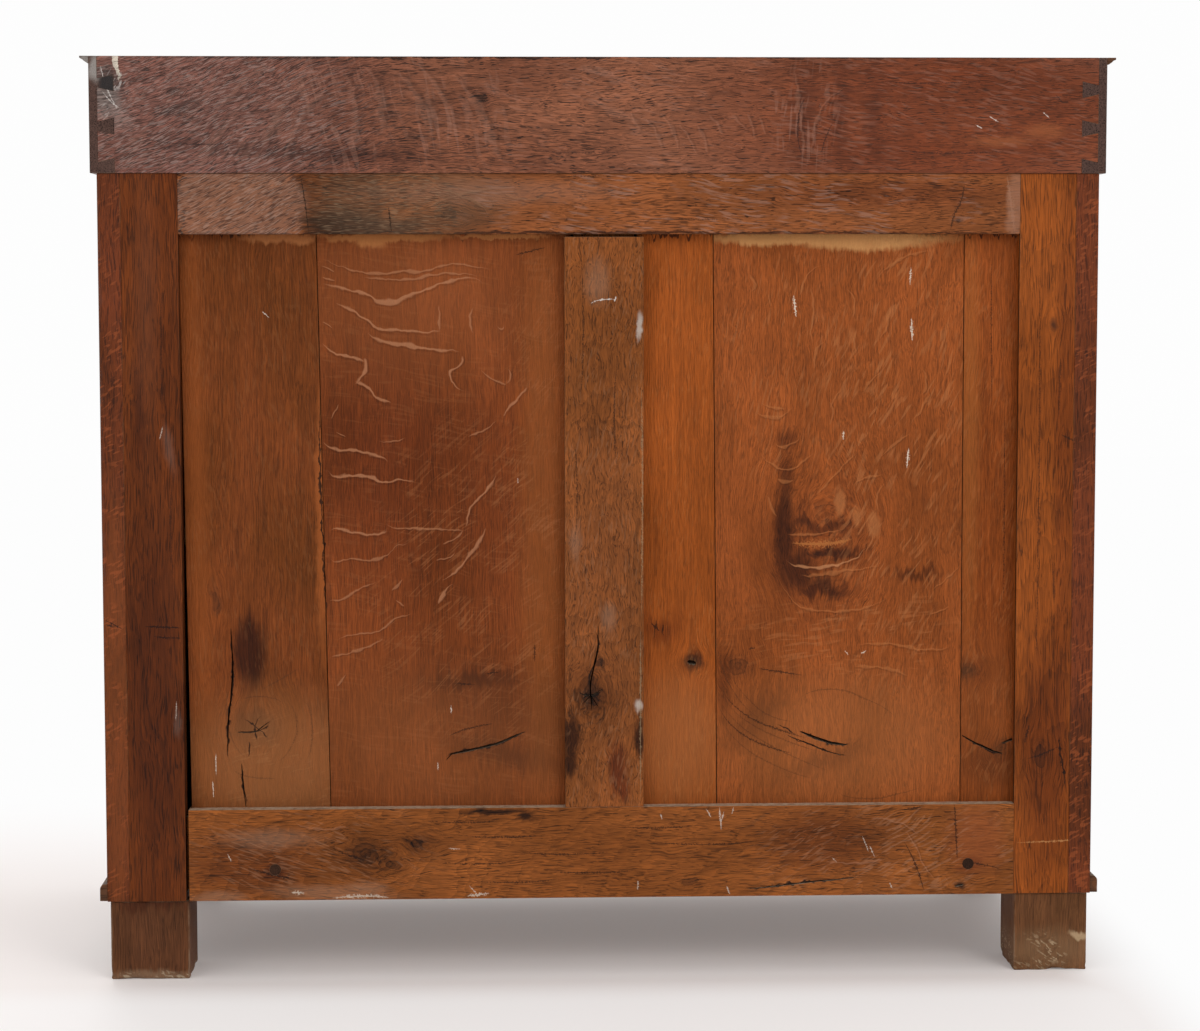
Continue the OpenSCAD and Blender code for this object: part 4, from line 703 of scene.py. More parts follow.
LEFT_RAYS = [
    [(-208, 492), (-239, 492), (-271, 497)], [(-221, 446), (-251, 447), (-277, 452), (-310, 456)],
    [(-195, 454), (-206, 428), (-225, 411), (-251, 406), (-273, 406), (-292, 409), (-314, 416),
        (-320, 432)], [(-192, 599), (-200, 590), (-211, 592), (-222, 604)],
    [(-176, 583), (-194, 568), (-206, 564), (-224, 573), (-237, 582)],
    [(-196, 553), (-206, 550), (-215, 552)], [(-309, 517), (-308, 538), (-321, 547)],
    [(-280, 542), (-291, 553), (-313, 557)], [(-241, 537), (-258, 556), (-285, 584)],
    [(-311, 577), (-328, 593), (-343, 604)], [(-370, 429), (-389, 446), (-402, 457)],
    [(-367, 401), (-389, 410)], [(-285, 369), (-315, 369), (-341, 366), (-363, 362), (-392, 370)],
    [(-281, 344), (-315, 342), (-343, 333)], [(-254, 614), (-257, 625), (-253, 640)],
    [(-179, 640), (-190, 633), (-205, 632)], [(-185, 536), (-191, 518), (-195, 512)],
    [(-230, 765), (-235, 743), (-233, 721), (-234, 702)], [(-221, 758), (-228, 780), (-249, 792)],
    [(-248, 706), (-239, 695), (-236, 677)], [(-271, 765), (-280, 750), (-277, 732)],
    [(-307, 706), (-316, 721), (-319, 743)], [(-355, 676), (-361, 665), (-355, 647)],
    [(-290, 651), (-301, 664), (-311, 673)], [(-172, 629), (-190, 622), (-209, 629), (-214, 640)],
    [(-164, 780), (-170, 765), (-160, 761)], [(-308, 780), (-341, 801), (-363, 807)],
    [(-350, 621), (-365, 647)], [(-279, 710), (-283, 695)], [(-379, 720), (-376, 706)],
    [(-253, 632), (-264, 651)], [(-186, 758), (-188, 743)]]
# Quarter-cut oak over a buried branch: short rays everywhere, a dark burr, a fan of cracks.
board_d = oak(
    "Oak, wide left board", "ZXY", "#964d1e", "#834319", seed=14, pith=(-1000, 0), cone=0.008, pitch=4.5,
    ring=0.14, pore=0.24, dash=(9, 0.9), flow=4, wave=(50, 2.0), fibre=0.4, face=PANEL_FACE, rough=0.66,
    flecks=[
        (26, 3.6, 118, 0.42, (-330, 600, 80, 260, 0, 0.5)),
        (24, 2.8, 104, 0.3, (-220, 680, 100, 140, 0, 0.4)),
        (26, 3.2, 174, 0.3, (-280, 380, 120, 50, 0, 0.5))],
    fleck_tint="#ae6e40",
    knots=[(-154, 345, 14, 13, 0, 0.5), (-250, 500, 34, 42, 0, 0.0)],
    stains_and_shade=[
        # The first stain, a thin dark line at z 825 along the top, is painted shadow of the top rail.
        ("#4c3c30", 0.85, [(-265, 825, 150, 2.2, 0, 0.4)]), ("#988c80", 0.5, [(-240, 478, 56, 76, 0, 0.7)]),
        ("#80766a", 0.88, [(-204, 496, 11, 54, 0, 0.5), (-216, 452, 20, 24, 0, 0.6),
            (-244, 432, 34, 9, 4, 0.7), (-256, 472, 40, 6, 0, 0.6)]),
        ("#847a6c", 0.7, [(-205, 596, 12, 11, 0, 0.7), (-206, 566, 8, 20, 0, 0.7),
            (-245, 503, 34, 7, 0, 0.6), (-350, 447, 28, 6, 0, 0.7)]),
        ("#a89c88", 0.7, [(-172, 286, 40, 14, -42, 0.8), (-255, 240, 44, 10, -20, 0.8),
            (-137, 322, 8, 38, 0, 0.7)])],
    blots=[
        ("#9c6236", 0.35, [(-265, 260, 130, 70, 0, 0.6)]),
        ("#bf8a54", 0.9, [(-250, 820, 130, 8, 0, 0.35), (-290, 817, 70, 11, 0, 0.3),
            (-170, 818, 24, 7, 0, 0.4)]),
        ("#a8683a", 0.6, [(-266, 527, 6, 14, 0, 0.4), (-303, 503, 7, 13, 0, 0.4),
            (-284, 512, 5, 9, 0, 0.5)])],
    rays=[
        ("#b06c3c", 0.42, 3.0, LEFT_RAYS),
        ("#b47a50", 0.7, 3.4, [
            [(-206, 469), (-221, 456), (-251, 456), (-277, 462), (-293, 474), (-296, 481)]])],
    lines=[
        ("#a2612f", 0.9, 9.0, [[(-212, 482), (-239, 481), (-258, 482), (-280, 487)]]),
        ("#4a2a16", 0.5, 2.4, [[(-128, 375), (-135, 344), (-148, 316), (-166, 294), (-192, 278)],
            [(-133, 319), (-147, 296), (-170, 278), (-203, 262), (-242, 248)],
            [(-136, 358), (-147, 330), (-164, 308), (-186, 290), (-214, 282)],
            [(-131, 308), (-153, 280), (-186, 257), (-220, 240), (-254, 226)],
            [(-133, 285), (-159, 254), (-198, 231), (-237, 217)],
            [(-220, 307), (-253, 318), (-298, 306), (-332, 284)],
            [(-265, 206), (-299, 194), (-332, 199), (-360, 207)]]),
        ("#2f1a0d", 0.75, 3.2, [
            [(-132, 328), (-138, 313), (-151, 298), (-173, 283), (-199, 273), (-229, 263)],
            [(-129, 320), (-134, 294), (-154, 271), (-181, 256), (-214, 246)], [(-164, 364), (-172, 365)],
            [(-175, 342), (-225, 334)]]),
        ("#0f0704", -0.95, 4.0, [[(-222, 271), (-240, 263), (-259, 257), (-274, 255), (-278, 259)]]),
        ("#1a0e08", -0.9, 2.0, [[(-196, 279), (-207, 274), (-218, 268)],
            [(-207, 267), (-233, 256), (-259, 246), (-274, 243)]]),
        ("#e2d4c0", 0.8, 3.4, [[(-213, 757), (-216, 733)], [(-344, 732), (-345, 706)],
            [(-342, 588), (-340, 565)]]),
        ("#e2d4c0", 0.75, 2.4, [[(-343, 788), (-342, 768)], [(-269, 607), (-269, 597)],
            [(-272, 361), (-276, 357)], [(-290, 358), (-296, 361)]])])
# Straight oak, darker, split across its lower end.
board_e = oak(
    "Oak, outer left board", "ZXY", "#914818", "#7e3d12", seed=15, pith=(-1000, 0), cone=0.01, pitch=4.5,
    ring=0.18, pore=0.22, dash=(14, 0.85), flow=3, fibre=0.4, face=PANEL_FACE, rough=0.66,
    flecks=[(14, 2.2, 110, 0.2, None)], fleck_tint="#a96a3c",
    knots=[(-410, 337, 12, 9, 0, 0.75), (-450, 252, 15, 9, -30, 0.4)],
    stains_and_shade=[
        # The first stain, a thin dark line at z 825 along the top, is painted shadow of the top rail.
        ("#4c3c30", 0.85, [(-430, 825, 60, 2.2, 0, 0.4)]), ("#a89c90", 0.7, [(-440, 236, 30, 22, 0, 0.8)]),
        ("#b0a090", 0.6, [(-410, 337, 20, 14, 0, 0.9)])],
    blots=[
        ("#a05e2a", 0.4, [(-410, 620, 9, 210, 0, 0.8)]), ("#925c34", 0.15, [(-436, 280, 50, 90, 0, 0.6)])],
    lines=[
        ("#0f0704", -0.95, 3.2, [[(-405, 265), (-420, 256), (-439, 247), (-451, 244)],
            [(-449, 256), (-458, 259), (-466, 261)]]),
        ("#2b170c", 0.7, 1.8, [[(-449, 640), (-450, 400)], [(-432, 800), (-434, 640)]])])


JOINT_AB, JOINT_DE = 306, -402.5      # mm, x of the joints between boards A and B, and D and E
JOINT_CD, JOINT_CD_AT, JOINT_CD_LEAN = -126.5, 507, 0.0086    # x of the third at that z, and its slope


def right_board(at):
    """Which board of the right back panel a point lies on."""
    return 0 if at.x > JOINT_AB else 1


def left_board(at):
    """Which board of the left back panel a point lies on."""
    if at.x > JOINT_CD + (at.z - JOINT_CD_AT) * JOINT_CD_LEAN:
        return 0
    return 1 if at.x > JOINT_DE else 2


worn("back_panel_right", [board_a, board_b], arris=0.5, face=PANEL_FACE, pick=right_board,
     cuts=[([(410, 391), (409, 369), (408, 346), (411, 309), (414, 287), (415, 246)], 2.2, 6),
           ([(400, 239), (398, 216), (395, 186)], 1.8, 6), ([(404, 274), (383, 275), (367, 287)], 1.8, 4),
           ([(173, 241), (167, 248), (147, 252), (117, 259), (84, 273)], 3.4, 6.5)])
worn("back_panel_left", [board_c, board_d, board_e], arris=0.5, face=PANEL_FACE, pick=left_board,
     cuts=[([(-222, 271), (-240, 263), (-259, 257), (-276, 255)], 4.6, 6.5),
           ([(-207, 267), (-233, 256), (-259, 246), (-274, 243)], 1.6, 4),
           ([(-404, 265), (-420, 256), (-439, 247), (-451, 244)], 3.2, 6.5),
           ([(-449, 256), (-458, 259), (-468, 261)], 3.0, 6.5), ([(-96, 350), (-106, 348)], 7.5, 6.5)])

# ---- Frieze box ------------------------------------------------------------------------------------
# A wide oak board at the back, lapped and dovetailed at both ends into the frieze sides, whose dark
# end grain shows as pins and as a strip. A thin moulding runs round the other three sides.

FRIEZE_FACE = 276      # mm, the face of the frieze back

# Rough-sawn oak stained purple brown, with hatching from the saw and rays that barely show.
frieze_oak = oak(
    "Oak, frieze back", "XZY", "#956050", "#7d4d3f", seed=21, pith=(900, -70), cone=0.03, pitch=4.6,
    ring=0.34, pore=0.7, dash=(14, 0.9), flow=4, wave=(46, 1.6), fibre=0.42, face=FRIEZE_FACE, rough=0.58,
    sheen=0.2, lean=(200, 580, 120),
    flecks=[
        (11, 1.1, 162, 0.65, (400, 950, 230, 90, 0, 0.4), "#33201a"),
        (9, 1.0, 158, 0.3, (450, 950, 180, 90, 0, 0.4), "#b09a92"),
        (8, 2.0, 130, 0.9, (530, 984, 18, 32, 0, 0.5), "#c4bdb8"),
        (9, 2.4, 60, 0.8, (534, 980, 16, 26, 0, 0.5), "#242020"),
        (30, 4.0, 128, 0.12, (440, 950, 130, 80, 0, 0.4)), (40, 5.0, 78, 0.22, (230, 960, 130, 80, 0, 0.4)),
        (20, 2.4, 12, 0.2, (-200, 950, 420, 80, 0, 0.3)), (26, 3.4, 96, 0.25, (-222, 955, 36, 60, 0, 0.4))],
    fleck_tint="#a07462",
    knots=[(130, 971, 7, 5, 0, 0.8), (459, 976, 8, 4, 0, 0.5)],
    stains_and_shade=[
        ("#f0e5c1", 1.0, [(-100, 950, 420, 200, 0, 0.35)]),
        ("#d8a676", 0.9, [(-400, 950, 240, 90, 0, 0.5)]), ("#f0e8c4", 0.8, [(-470, 950, 120, 90, 0, 0.6)]),
        ("#e6e4e8", 0.9, [(430, 950, 260, 120, 0, 0.6)]), ("#9c8a84", 0.7, [(330, 912, 130, 7, 3, 0.8)]),
        ("#a8968c", 0.7, [(-221, 955, 12, 50, 4, 0.7), (-262, 960, 8, 50, 0, 0.7),
            (-300, 950, 8, 50, 0, 0.8)]),
        ("#7c7068", 0.8, [(464, 978, 9, 4, 0, 0.6), (455, 960, 22, 5, -20, 0.8)]),
        # The last stain, a thin dark line along the top edge at z 1016, is painted shade.
        ("#504844", 0.9, [(0, 1016, 560, 1.6, 0, 0.5)])],
    blots=[
        ("#dcd2c0", 0.95, [(525, 1012, 4, 9, 0, 0.06), (523, 1001, 2.4, 11, -6, 0.06)]),
        ("#8a4a28", 0.16, [(-380, 950, 260, 100, 0, 0.6)]),
        ("#99562f", 0.5, [(-487, 936, 20, 7, 0, 0.7), (-440, 925, 30, 5, 0, 0.7)]),
        ("#a08e86", 0.07, [(440, 950, 130, 90, 0, 0.6)]), ("#4a4340", 0.75, [(536, 982, 18, 24, 0, 0.5)]),
        ("#8f8680", 0.35, [(532, 962, 14, 26, -40, 0.6)])],
    rays=[
        ("#a57e6c", 0.11, 10.0, [[(255, 1005), (241, 970), (239, 933)],
            [(227, 1002), (201, 973), (190, 938)], [(208, 1013), (176, 978), (160, 935)],
            [(284, 1000), (268, 957), (272, 914)], [(295, 984), (328, 946), (344, 903)],
            [(314, 994), (349, 957), (369, 914)], [(165, 1000), (132, 957), (111, 903)],
            [(392, 957), (420, 924), (436, 897)], [(360, 1010), (398, 978), (425, 946)],
            [(190, 984), (185, 930)], [(26, 1007), (-25, 990)], [(24, 973), (-8, 960), (-42, 946)]]),
        ("#9c6f5a", 0.2, 4.4, [[(-49, 950), (-58, 936), (-66, 917)], [(-85, 943), (-96, 928), (-104, 911)],
            [(-104, 943), (-112, 927), (-116, 911)], [(-118, 954), (-127, 943), (-132, 932)],
            [(-143, 954), (-159, 936)], [(-173, 950), (-180, 932)], [(-159, 957), (-170, 925)],
            [(-64, 955), (-77, 938), (-85, 914)], [(-31, 957), (-42, 936)],
            [(-211, 1001), (-217, 957), (-223, 908)], [(-271, 984), (-239, 957), (-230, 908)]])],
    lines=[
        ("#cfc8c2", 0.7, 2.0, [[(542, 1006), (536, 984), (524, 958)],
            [(540, 978), (530, 966), (522, 960)]]),
        ("#dccfc4", 0.7, 1.8, [[(-484, 957), (-492, 950)], [(-410, 943), (-418, 939)],
            [(-425, 952), (-436, 946)]]),
        ("#2a1712", 0.75, 2.4, [[(-228, 975), (-215, 940), (-222, 905)],
            [(-254, 946), (-246, 930), (-241, 912)], [(-498, 976), (-507, 966)]]),
        ("#241410", 0.6, 1.8, [[(500, 930), (440, 921), (380, 924)], [(70, 915), (20, 912), (-30, 914)],
            [(-300, 990), (-360, 988), (-420, 991)], [(-320, 915), (-390, 912), (-450, 916)]])])
worn("frieze_back", [frieze_oak], arris=0.7)

# End grain, soaked dark and dull by old glue and stain.
side_dark = oak(
    "Oak, end grain of the frieze sides", "YZX", "#574038", "#4b3730", seed=22, pith=(900, -60), ring=0.4,
    pore=0.6, rough=0.66, wear=0.5, wear_tint="#7c6a5c",
    blots=[("#9a9590", 0.8, [(548, 1003, 7, 13, 0, 0.5)]), ("#2b2a2a", 0.9, [(536, 982, 9, 17, 0, 0.4)])])
# The same board on its polished face: shellac gives it a soft gloss.
side_polished = oak(
    "Oak, frieze side", "YZX", "#754425", "#65381d", seed=25, pith=(900, -260), cone=0.03, pitch=5,
    ring=0.4, pore=0.45, dash=(20, 1.3), rough=0.42, sheen=0.3, dust=0.15, wear=0.25, wear_tint="#8d5f40")


END_GRAIN_FROM = 250   # mm, y from which a face belongs to the back end of a board


def end_grain(at):
    """The back ends and pins of the frieze sides, which were never polished."""
    return 0 if at.y > END_GRAIN_FROM else 1


for side in ("left", "right"):
    worn("frieze_side_" + side, [side_dark, side_polished], arris=0.6, pick=end_grain)

# Polished oak, darker because the moulding gathers old wax.
mould_oak = oak(
    "Oak, mouldings", "XZY", "#5c3b27", "#48301f", seed=23, ring=0.3, pore=0.4, rough=0.5, wear=0.3,
    wear_tint="#86603f", dust=0.15)
# The cut ends of the mouldings, dull, with pale chips.
mould_end = oak(
    "Oak, cut ends of the mouldings", "XZY", "#5c3b27", "#48301f", seed=26, ring=0.3, pore=0.4, rough=0.6,
    wear=0.3, wear_tint="#86603f",
    blots=[
        ("#cfc6bc", 0.9, [(-562, 104, 5, 4, 0, 0.5), (-559, 92, 3, 3, 0, 0.5)]),
        ("#8f8a86", 0.8, [(560, 1012, 7, 5, 0, 0.6)]), ("#6e4426", 0.7, [(-556, 97, 6, 8, 0, 0.7)])])
worn("top_mouldings", [mould_end, mould_oak], arris=0.3, pick=end_grain)
worn("base_mouldings", [mould_end, mould_oak], arris=0.5, pick=end_grain)

# The top, waxed and wiped for years: darker, smooth, worn pale at its edges.
top_oak = oak(
    "Oak, top boards", "XYZ", "#74401f", "#643518", seed=24, pith=(60, 700), cone=0.06, pitch=5, ring=0.42,
    pore=0.42, dash=(26, 1.4), fibre=0.34, rough=0.38, sheen=0.35, dust=0.06, wear=0.5, wear_tint="#946038")
worn("top_panel", [top_oak], arris=0.5)

# ---- Front of the frieze and the drawers -----------------------------------------------------------
# Two drawers between rails and a short divider. Their fronts are stained and polished oak with a turned
# knob each, and behind them the sides, backs and bottoms are bare oak, dovetailed at the corners.

# Shellac over stained oak: warm brown with open pores and a soft gloss.
shellac = dict(
    pale="#824a25", dark="#703d1d", cone=0.04, pitch=5, ring=0.42, pore=0.42, dash=(22, 1.3), fibre=0.34,
    rough=0.36, fleck_tint="#985c32", sheen=0.4, dust=0.12, wear=0.25, wear_tint="#9a6238")
front_oak = oak(
    "Oak, polished front", "XZY", seed=31, pith=(960, -160), flecks=[(22, 3, 14, 0.25, None)], **shellac)
upright_oak = oak(
    "Oak, polished uprights", "ZXY", seed=32, pith=(700, -160), flecks=[(20, 3, 100, 0.25, None)],
    **shellac)
# Oak that never saw polish or sun: pale, dry and dull. Its grain runs across, or from front to back.
bare = dict(
    pale="#a8764a", dark="#8c5e38", cone=0.02, pitch=4, ring=0.25, pore=0.45, rough=0.72, dust=0.2)
bare_oak = oak("Oak, bare inside", "XYZ", seed=33, pith=(700, 100), **bare)
bare_sides = oak("Oak, bare drawer sides", "YZX", seed=34, pith=(900, 100), **bare)
# Turned and handled until it is dark and smooth.
knob_oak = oak(
    "Oak, turned knob", "YXZ", "#5f3219", "#40200f", seed=35, pith=(300, 60), ring=0.35, pore=0.5,
    rough=0.3, wear=0.2)
worn("frieze_front_rails", [front_oak])
worn("frieze_divider", [upright_oak], arris=0.5)
worn("drawer_floor", [bare_oak])
worn("drawer_guide", [bare_sides])
for side in ("left", "right"):
    worn("drawer_" + side + "_front", [front_oak])
    worn("drawer_" + side + "_sides", [bare_sides], arris=0.6)
    worn("drawer_" + side + "_back", [bare_oak], arris=0.6)
    worn("drawer_" + side + "_bottom", [bare_oak], arris=0.4)
    worn("drawer_" + side + "_knob", [knob_oak], arris=0.3)

# ---- Sides and front of the case -------------------------------------------------------------------
# Framed and panelled sides and two corner posts, all of oak; the outer strips seen from the back are
# the edges of the side stiles, redder and full of little rays.

# Bare red-brown edge with small rays and scrapes.
side_stile = oak(
    "Oak, side stile", "ZYX", "#6e3212", "#572708", seed=41, pith=(900, 300), cone=0.03, pitch=4.5,
    ring=0.3, pore=0.5, rough=0.5, sheen=0.16, flecks=[(10, 3.0, 150, 0.45, None)],
    fleck_tint="#9a4e26",
    lines=[("#170d0a", 0.85, 3.5, [[(546, 402), (538, 398), (527, 392)], [(545, 397), (536, 394)]])],
    # The second blot, a dark strip 3 mm wide down the outer corner at x 549, is painted shade.
    blots=[("#86481f", 0.4, [(535, 300, 14, 240, 0, 0.4)]), ("#5a3a30", 0.4, [(549, 600, 3, 300, 0, 0.6)])])
# Polished oak of the sides, a little duller than the front.
side_finish = dict(
    pale="#7a4524", dark="#69391c", pitch=5, ring=0.4, pore=0.42, dash=(22, 1.3), rough=0.42, dust=0.12)
side_rail = oak("Oak, side rail", "YZX", seed=42, pith=(500, -260), cone=0.04, **side_finish)
# A slab-cut board with tall arches, in the same polish.
side_board = oak(
    "Oak, side panel", "ZYX", "#824826", "#713c1e", seed=43, pith=(0, -300), cone=0.06, pitch=6, ring=0.42,
    pore=0.4, dash=(24, 1.3), rough=0.42, dust=0.12)
# The polished face of the same stiles.
side_upright = oak(
    "Oak, polished face of the side stiles", "ZYX", seed=44, pith=(700, 160), cone=0.03, **side_finish)


BACK_EDGE_FROM = 272   # mm, y from which a face belongs to the back edge of a side stile


def back_edge(at):
    """The edges of the side stiles that show at the back."""
    return 0 if at.y > BACK_EDGE_FROM else 1


for side in ("left", "right"):
    worn("side_" + side + "_stile", [side_stile, side_upright], pick=back_edge)
    worn("side_" + side + "_rails", [side_rail])
    worn("side_" + side + "_panel", [side_board])
    worn("front_post_" + side, [upright_oak])
worn("front_rails", [front_oak])

# ---- Inside ----------------------------------------------------------------------------------------
# Bare oak boards, planed and left so: the case bottom is pegged into the frame, and the shelf lies
# loose on two cleats that are fixed to the sides.

worn("case_bottom", [bare_oak])
worn("shelf", [bare_oak])
worn("shelf_cleats", [bare_sides])

# ---- Doors -----------------------------------------------------------------------------------------
# Two framed doors of polished oak, tenoned at the corners, each with a quarter-cut panel that is held
# in the grooves of its frame and free to shrink.

# Quarter-cut oak chosen for its rays, which show as short pale flecks under the polish.
door_panel_oak = oak(
    "Oak, door panel", "ZXY", "#8a4e28", "#774120", seed=51, pith=(1400, 0), cone=0.02, pitch=4, ring=0.22,
    pore=0.34, dash=(20, 1.2), fibre=0.36, rough=0.36, sheen=0.4,
    flecks=[(34, 4.0, 128, 0.34, None), (22, 2.6, 118, 0.24, None)],
    fleck_tint="#a86c40", dust=0.12)
for side in ("left", "right"):
    worn("door_" + side + "_stiles", [upright_oak])
    worn("door_" + side + "_rails", [front_oak])
    worn("door_" + side + "_panel", [door_panel_oak], arris=0.5)

# ---- Hinges, lock and bolt -------------------------------------------------------------------------
# Pin hinges, lock case, bolts and staples are forged iron, filed and let into the wood, and black with
# age. The key and the plate round its hole are cast brass.


def metal(name, pale, dark, rough, metallic):
    """Old metal: a mottled skin over the bare metal, with fine pits."""
    material, tree = bare_material(name)
    spot = add(tree, "TexCoord", out="Object")
    skin = add(tree, "TexNoise", {"Vector": spot, "Scale": 180.0, "Detail": 5.0, "Roughness": 0.65})
    skin = add(tree, "MapRange", {0: skin, 1: 0.38, 2: 0.62})
    colour = add(tree, "Mix", {0: skin, 6: linear(pale), 7: linear(dark)}, out=2, data_type="RGBA")
    gloss = add(tree, "MapRange", {0: skin, 3: rough - 0.1, 4: rough + 0.12})
    bump = add(tree, "Bump", {"Height": skin, "Strength": 0.4, "Distance": 0.0002})
    surface = add(tree, "BsdfPrincipled", {"Base Color": colour, "Metallic": metallic, "Roughness": gloss,
                                           "Normal": bump})
    add(tree, "OutputMaterial", {0: surface})
    return material


# Iron black from the forge: a rough dark skin with a dull metal sheen.
forged_iron = metal("Forged iron", "#4b4744", "#2b2522", 0.5, 0.8)
# Cast brass, brown where nobody touches it and yellow where they do.
old_brass = metal("Old brass", "#b08d4f", "#7a5c2e", 0.34, 1.0)
for node in ("hinge_pintles", "door_left_hinges", "door_right_hinges", "lock_case", "lock_bolt",
             "slide_bolt", "bolt_staples"):
    worn(node, [forged_iron], arris=0.25)
for node in ("key", "escutcheon"):
    worn(node, [old_brass], arris=0.3)

# ---- Feet ------------------------------------------------------------------------------------------
# Square oak blocks, each with a round tenon up into the case. Damp floors and dragging have worn
# their lower ends ragged, and have left them pale.

# Oak worn dull and grey by wet floors, with pale raw chips.
foot_finish = dict(
    pale="#754a2c", dark="#5e3b20", pith=(700, 0), cone=0.03, pitch=5, ring=0.3, pore=0.3, dash=(26, 1.2),
    wear_tint="#8a7460")
foot_oak = oak(
    "Oak, feet", "ZXY", seed=61, rough=0.66, wear=0.6, **foot_finish,
    stains_and_shade=[("#ccc0bc", 0.9, [(500, 45, 48, 70, 0, 0.3)]), ("#c8a890", 0.8, [(500, 86, 60, 8, 0, 0.8)])],
    blots=[
        ("#8a6a4c", 0.45, [(-505, 22, 52, 22, 0, 0.6)]), ("#8f7258", 0.5, [(500, 5, 48, 5, 0, 0.7)]),
        ("#b59a78", 0.8, [(-538, 40, 12, 4, 20, 0.5)])],
    flecks=[
        (6, 2.2, 30, 0.6, (-505, 16, 60, 22, 0, 0.5), "#b8a080"),
        (6, 2.2, 150, 0.5, (-505, 20, 60, 24, 0, 0.5), "#5a3c24"),
        (6, 2.0, 20, 0.6, (500, 3, 60, 6, 0, 0.5), "#b8a68c")])
# The same feet at the front, which got more polish and fewer knocks.
front_foot_oak = oak(
    "Oak, front feet", "ZXY", seed=62, rough=0.6, wear=0.5, **foot_finish,
    blots=[("#8a6e56", 0.4, [(-500, 3, 60, 7, 0, 0.7), (500, 3, 60, 6, 0, 0.7)])])

WORN_HEIGHT = 18       # mm of each foot that the floor has worn
DEEPEST = 4.5          # mm that the worst chip goes in
SOLE = 3               # mm, what lies lower than this has splintered off the sole
LIFTED = 6             # mm, how high at most
LEVELS = (4, 8, 13, WORN_HEIGHT)      # mm above the floor, cuts at which the faces can bend
CUT_EVERY = 7          # mm between the upright cuts
ON_CUT = 1e-6          # m, a corner nearer to a cut than this is on it
CHIPS, SPLINTERS, SOLE_CHIPS = 70, 210, 55    # per metre, how closely they follow each other
for place in ("back_left", "back_right", "front_left", "front_right"):
    foot = worn("foot_" + place, [foot_oak if "back" in place else front_foot_oak], arris=1.8)
    lowest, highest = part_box("foot_" + place)
    middle_of_foot = (Vector(lowest) + Vector(highest)) / 2
    bm = bmesh.new()
    bm.from_mesh(foot.data)
    cuts = [((0, 0, 1), (0, 0, z / MM)) for z in LEVELS]
    for axis in (0, 1):
        across = tuple(float(i == axis) for i in range(3))
        steps = int((highest[axis] - lowest[axis]) * MM / CUT_EVERY)
        for step in range(1, steps):
            at = lowest[axis] + (highest[axis] - lowest[axis]) * step / steps
            cuts.append((across, (at if axis == 0 else 0, at if axis == 1 else 0, 0)))
    for way, through in cuts:
        near_floor = [f for f in bm.faces if way[2] or f.calc_center_median().z < WORN_HEIGHT / MM]
        reached = set(near_floor) | {e for f in near_floor for e in f.edges}
        reached |= {v for f in near_floor for v in f.verts}
        bmesh.ops.bisect_plane(bm, geom=list(reached), dist=ON_CUT, plane_co=through, plane_no=way)
    for v in bm.verts:
        share = 1 - v.co.z * MM / WORN_HEIGHT
        if share > 0:
            chipped = noise.noise(v.co * CHIPS) + 0.5 * noise.noise(v.co * SPLINTERS) - 0.02
            lost = max(chipped, 0) * DEEPEST * 2 * share
            inwards = Vector((middle_of_foot.x - v.co.x, middle_of_foot.y - v.co.y, 0)).normalized()
            v.co += inwards * min(lost, DEEPEST) / MM
            if v.co.z < SOLE / MM:
                chipped = noise.noise(v.co * SOLE_CHIPS + Vector((5, 0, 0)))
                v.co.z += max(chipped, 0) * (LIFTED / MM)
    bm.to_mesh(foot.data)
    bm.free()

# ---- Studio ----------------------------------------------------------------------------------------
# A white painted floor that runs out into a white room, and soft lamps on the side of the camera and
# behind it. They stand still, whatever pose the doors and drawers are in.


def plain(name, hex_colour, rough):
    """A painted surface of one colour, white to the camera where it runs out into the room."""
    material, tree = bare_material(name)
    surface = add(tree, "BsdfPrincipled", {"Base Color": linear(hex_colour), "Roughness": rough})
    white = add(tree, "Emission", {0: linear("#fdfdfd"), 1: 1.0})
    spot = add(tree, "TexCoord", out="Object")
    split = add(tree, "SeparateXYZ", {0: spot}).node.outputs
    # Where it fades out, in metres: away from the camera, to the picture's right, towards the camera
    # and all round
    far = add(tree, "MapRange", {0: split[1], 1: -0.1, 2: -0.9, 3: 0.14}, interpolation_type="SMOOTHSTEP")
    wide = add(tree, "MapRange", {0: split[0], 1: -0.46, 2: -0.66}, interpolation_type="SMOOTHSTEP")
    near = add(tree, "MapRange", {0: split[1], 1: 0.25, 2: 0.40, 4: 0.5}, interpolation_type="SMOOTHSTEP")
    out = add(tree, "Math", {0: far, 1: wide}, operation="MAXIMUM")
    around = add(tree, "VectorMath", {0: spot}, out=1, operation="LENGTH")
    around = add(tree, "MapRange", {0: around, 1: 1.1, 2: 2.0}, interpolation_type="SMOOTHSTEP")
    out = add(tree, "Math", {0: out, 1: near}, operation="MAXIMUM")
    out = add(tree, "Math", {0: out, 1: around}, operation="MAXIMUM")
    rays = add(tree, "LightPath").node.outputs
    seen = add(tree, "Math", {0: rays["Is Camera Ray"], 1: rays["Is Glossy Ray"]}, operation="MAXIMUM")
    out = add(tree, "Math", {0: out, 1: seen}, operation="MULTIPLY")
    add(tree, "OutputMaterial", {0: add(tree, "MixShader", {0: out, 1: surface, 2: white})})
    return material


ground = bmesh.new()
bmesh.ops.create_grid(ground, x_segments=8, y_segments=8, size=9)
floor = made_of(ground, "floor")
# Warm white paint, dull, which takes soft shadows and fades into the white of the room.
floor.data.materials.append(plain("White painted floor", "#f3eae6", 0.6))

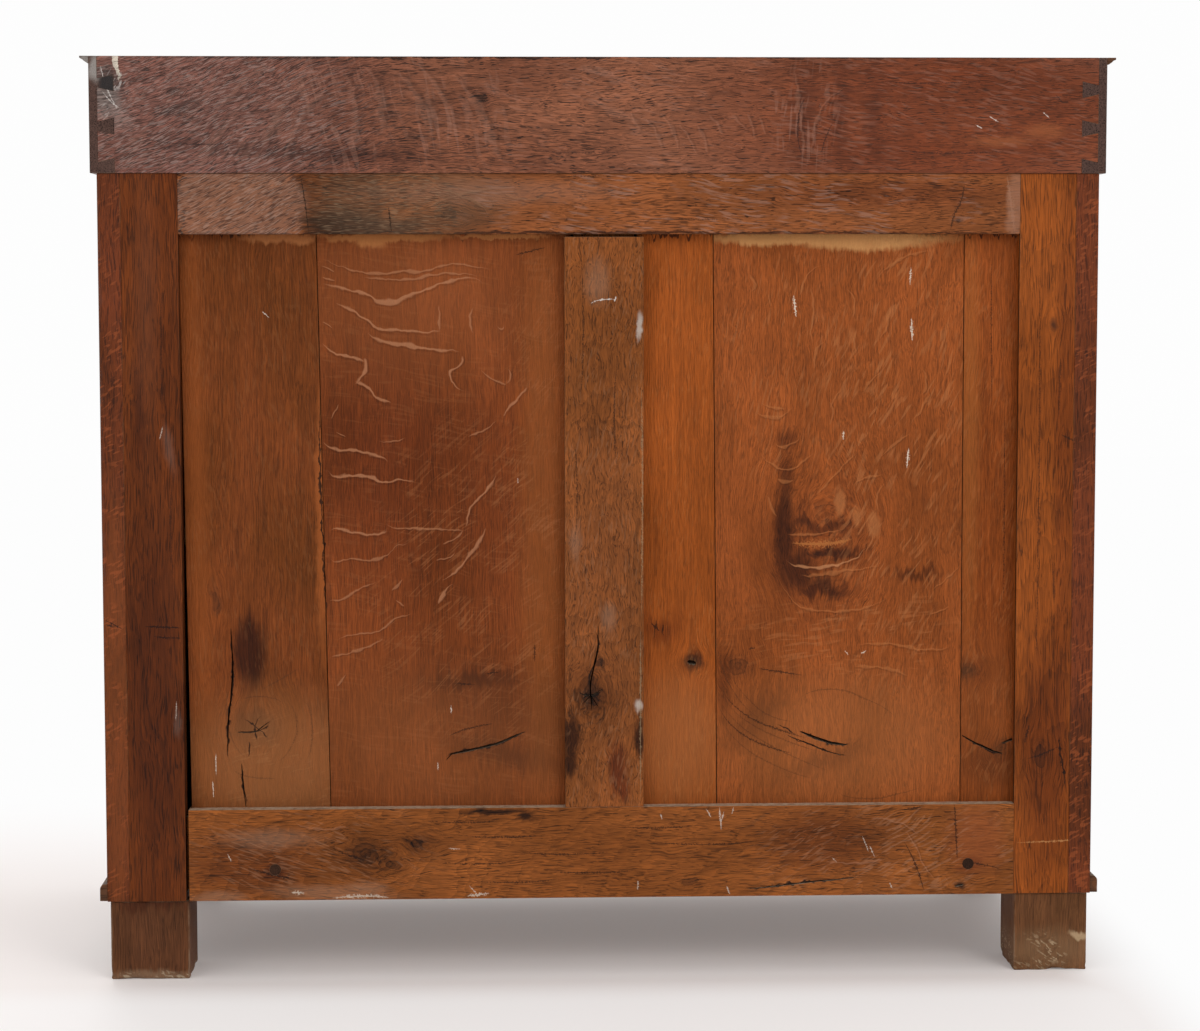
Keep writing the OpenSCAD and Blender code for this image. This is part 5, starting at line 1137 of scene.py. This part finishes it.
# The room is white to the camera and in reflections, and a little dimmer as a light
world = bpy.data.worlds.new("room")
bpy.context.scene.world = world
world.use_nodes = True
room = world.node_tree
room.nodes.clear()
rays = add(room, "LightPath").node.outputs
seen = add(room, "Math", {0: rays["Is Camera Ray"], 1: rays["Is Glossy Ray"]}, operation="MAXIMUM")
seen = add(room, "Math", {0: seen, 1: rays["Is Transmission Ray"]}, operation="MAXIMUM")
level = add(room, "MapRange", {0: seen, 3: 0.85, 4: 0.985})
sky = add(room, "Background", {0: linear("#ffffff"), 1: level})
add(room, "OutputWorld", {0: sky})

# Soft square lamps: where they hang, what they face, their width in metres and their watts
for name, at, aim, size, power in (("key", (-1.9, 3.6, 2.6), (0, 0.2, 0.45), 1.6, 40),
                                   ("fill", (2.4, 3.4, 1.6), (0, 0.2, 0.5), 2.0, 12),
                                   ("front", (0.8, -3.0, 2.4), (0, 0, 0.4), 1.8, 34)):
    lamp = bpy.data.lights.new(name, "AREA")
    lamp.shape = "SQUARE"
    lamp.size = size
    lamp.energy = power
    lamp_object = bpy.data.objects.new(name, lamp)
    lamp_object.location = at
    lamp_object.rotation_euler = (Vector(aim) - Vector(at)).to_track_quat("-Z", "Y").to_euler()
    bpy.context.scene.collection.objects.link(lamp_object)

# The camera, fitted to the edges in the photograph: millimetres of lens and sensor, metres, radians
EYE_AT = (0.126, 3.458, 0.777)
yaw, pitch, roll = -0.039, 0.082, -0.001
eye = bpy.data.cameras.new("camera")
eye.sensor_width = 36.0
eye.lens = 87.0
eye.clip_start = 0.05
camera = bpy.data.objects.new("camera", eye)
ahead = Vector((math.sin(yaw), -math.cos(yaw), 0))
right = Vector((-math.cos(yaw), -math.sin(yaw), 0))
sight = ahead * math.cos(pitch) - Vector((0, 0, 1)) * math.sin(pitch)
above = Vector((0, 0, 1)) * math.cos(pitch) + ahead * math.sin(pitch)
camera.matrix_world = Matrix.Translation(EYE_AT) @ Matrix(
    [right * math.cos(roll) + above * math.sin(roll), above * math.cos(roll) - right * math.sin(roll),
     -sight]).transposed().to_4x4()
bpy.context.scene.collection.objects.link(camera)
bpy.context.scene.camera = camera
bpy.context.scene.view_settings.view_transform = "Standard"
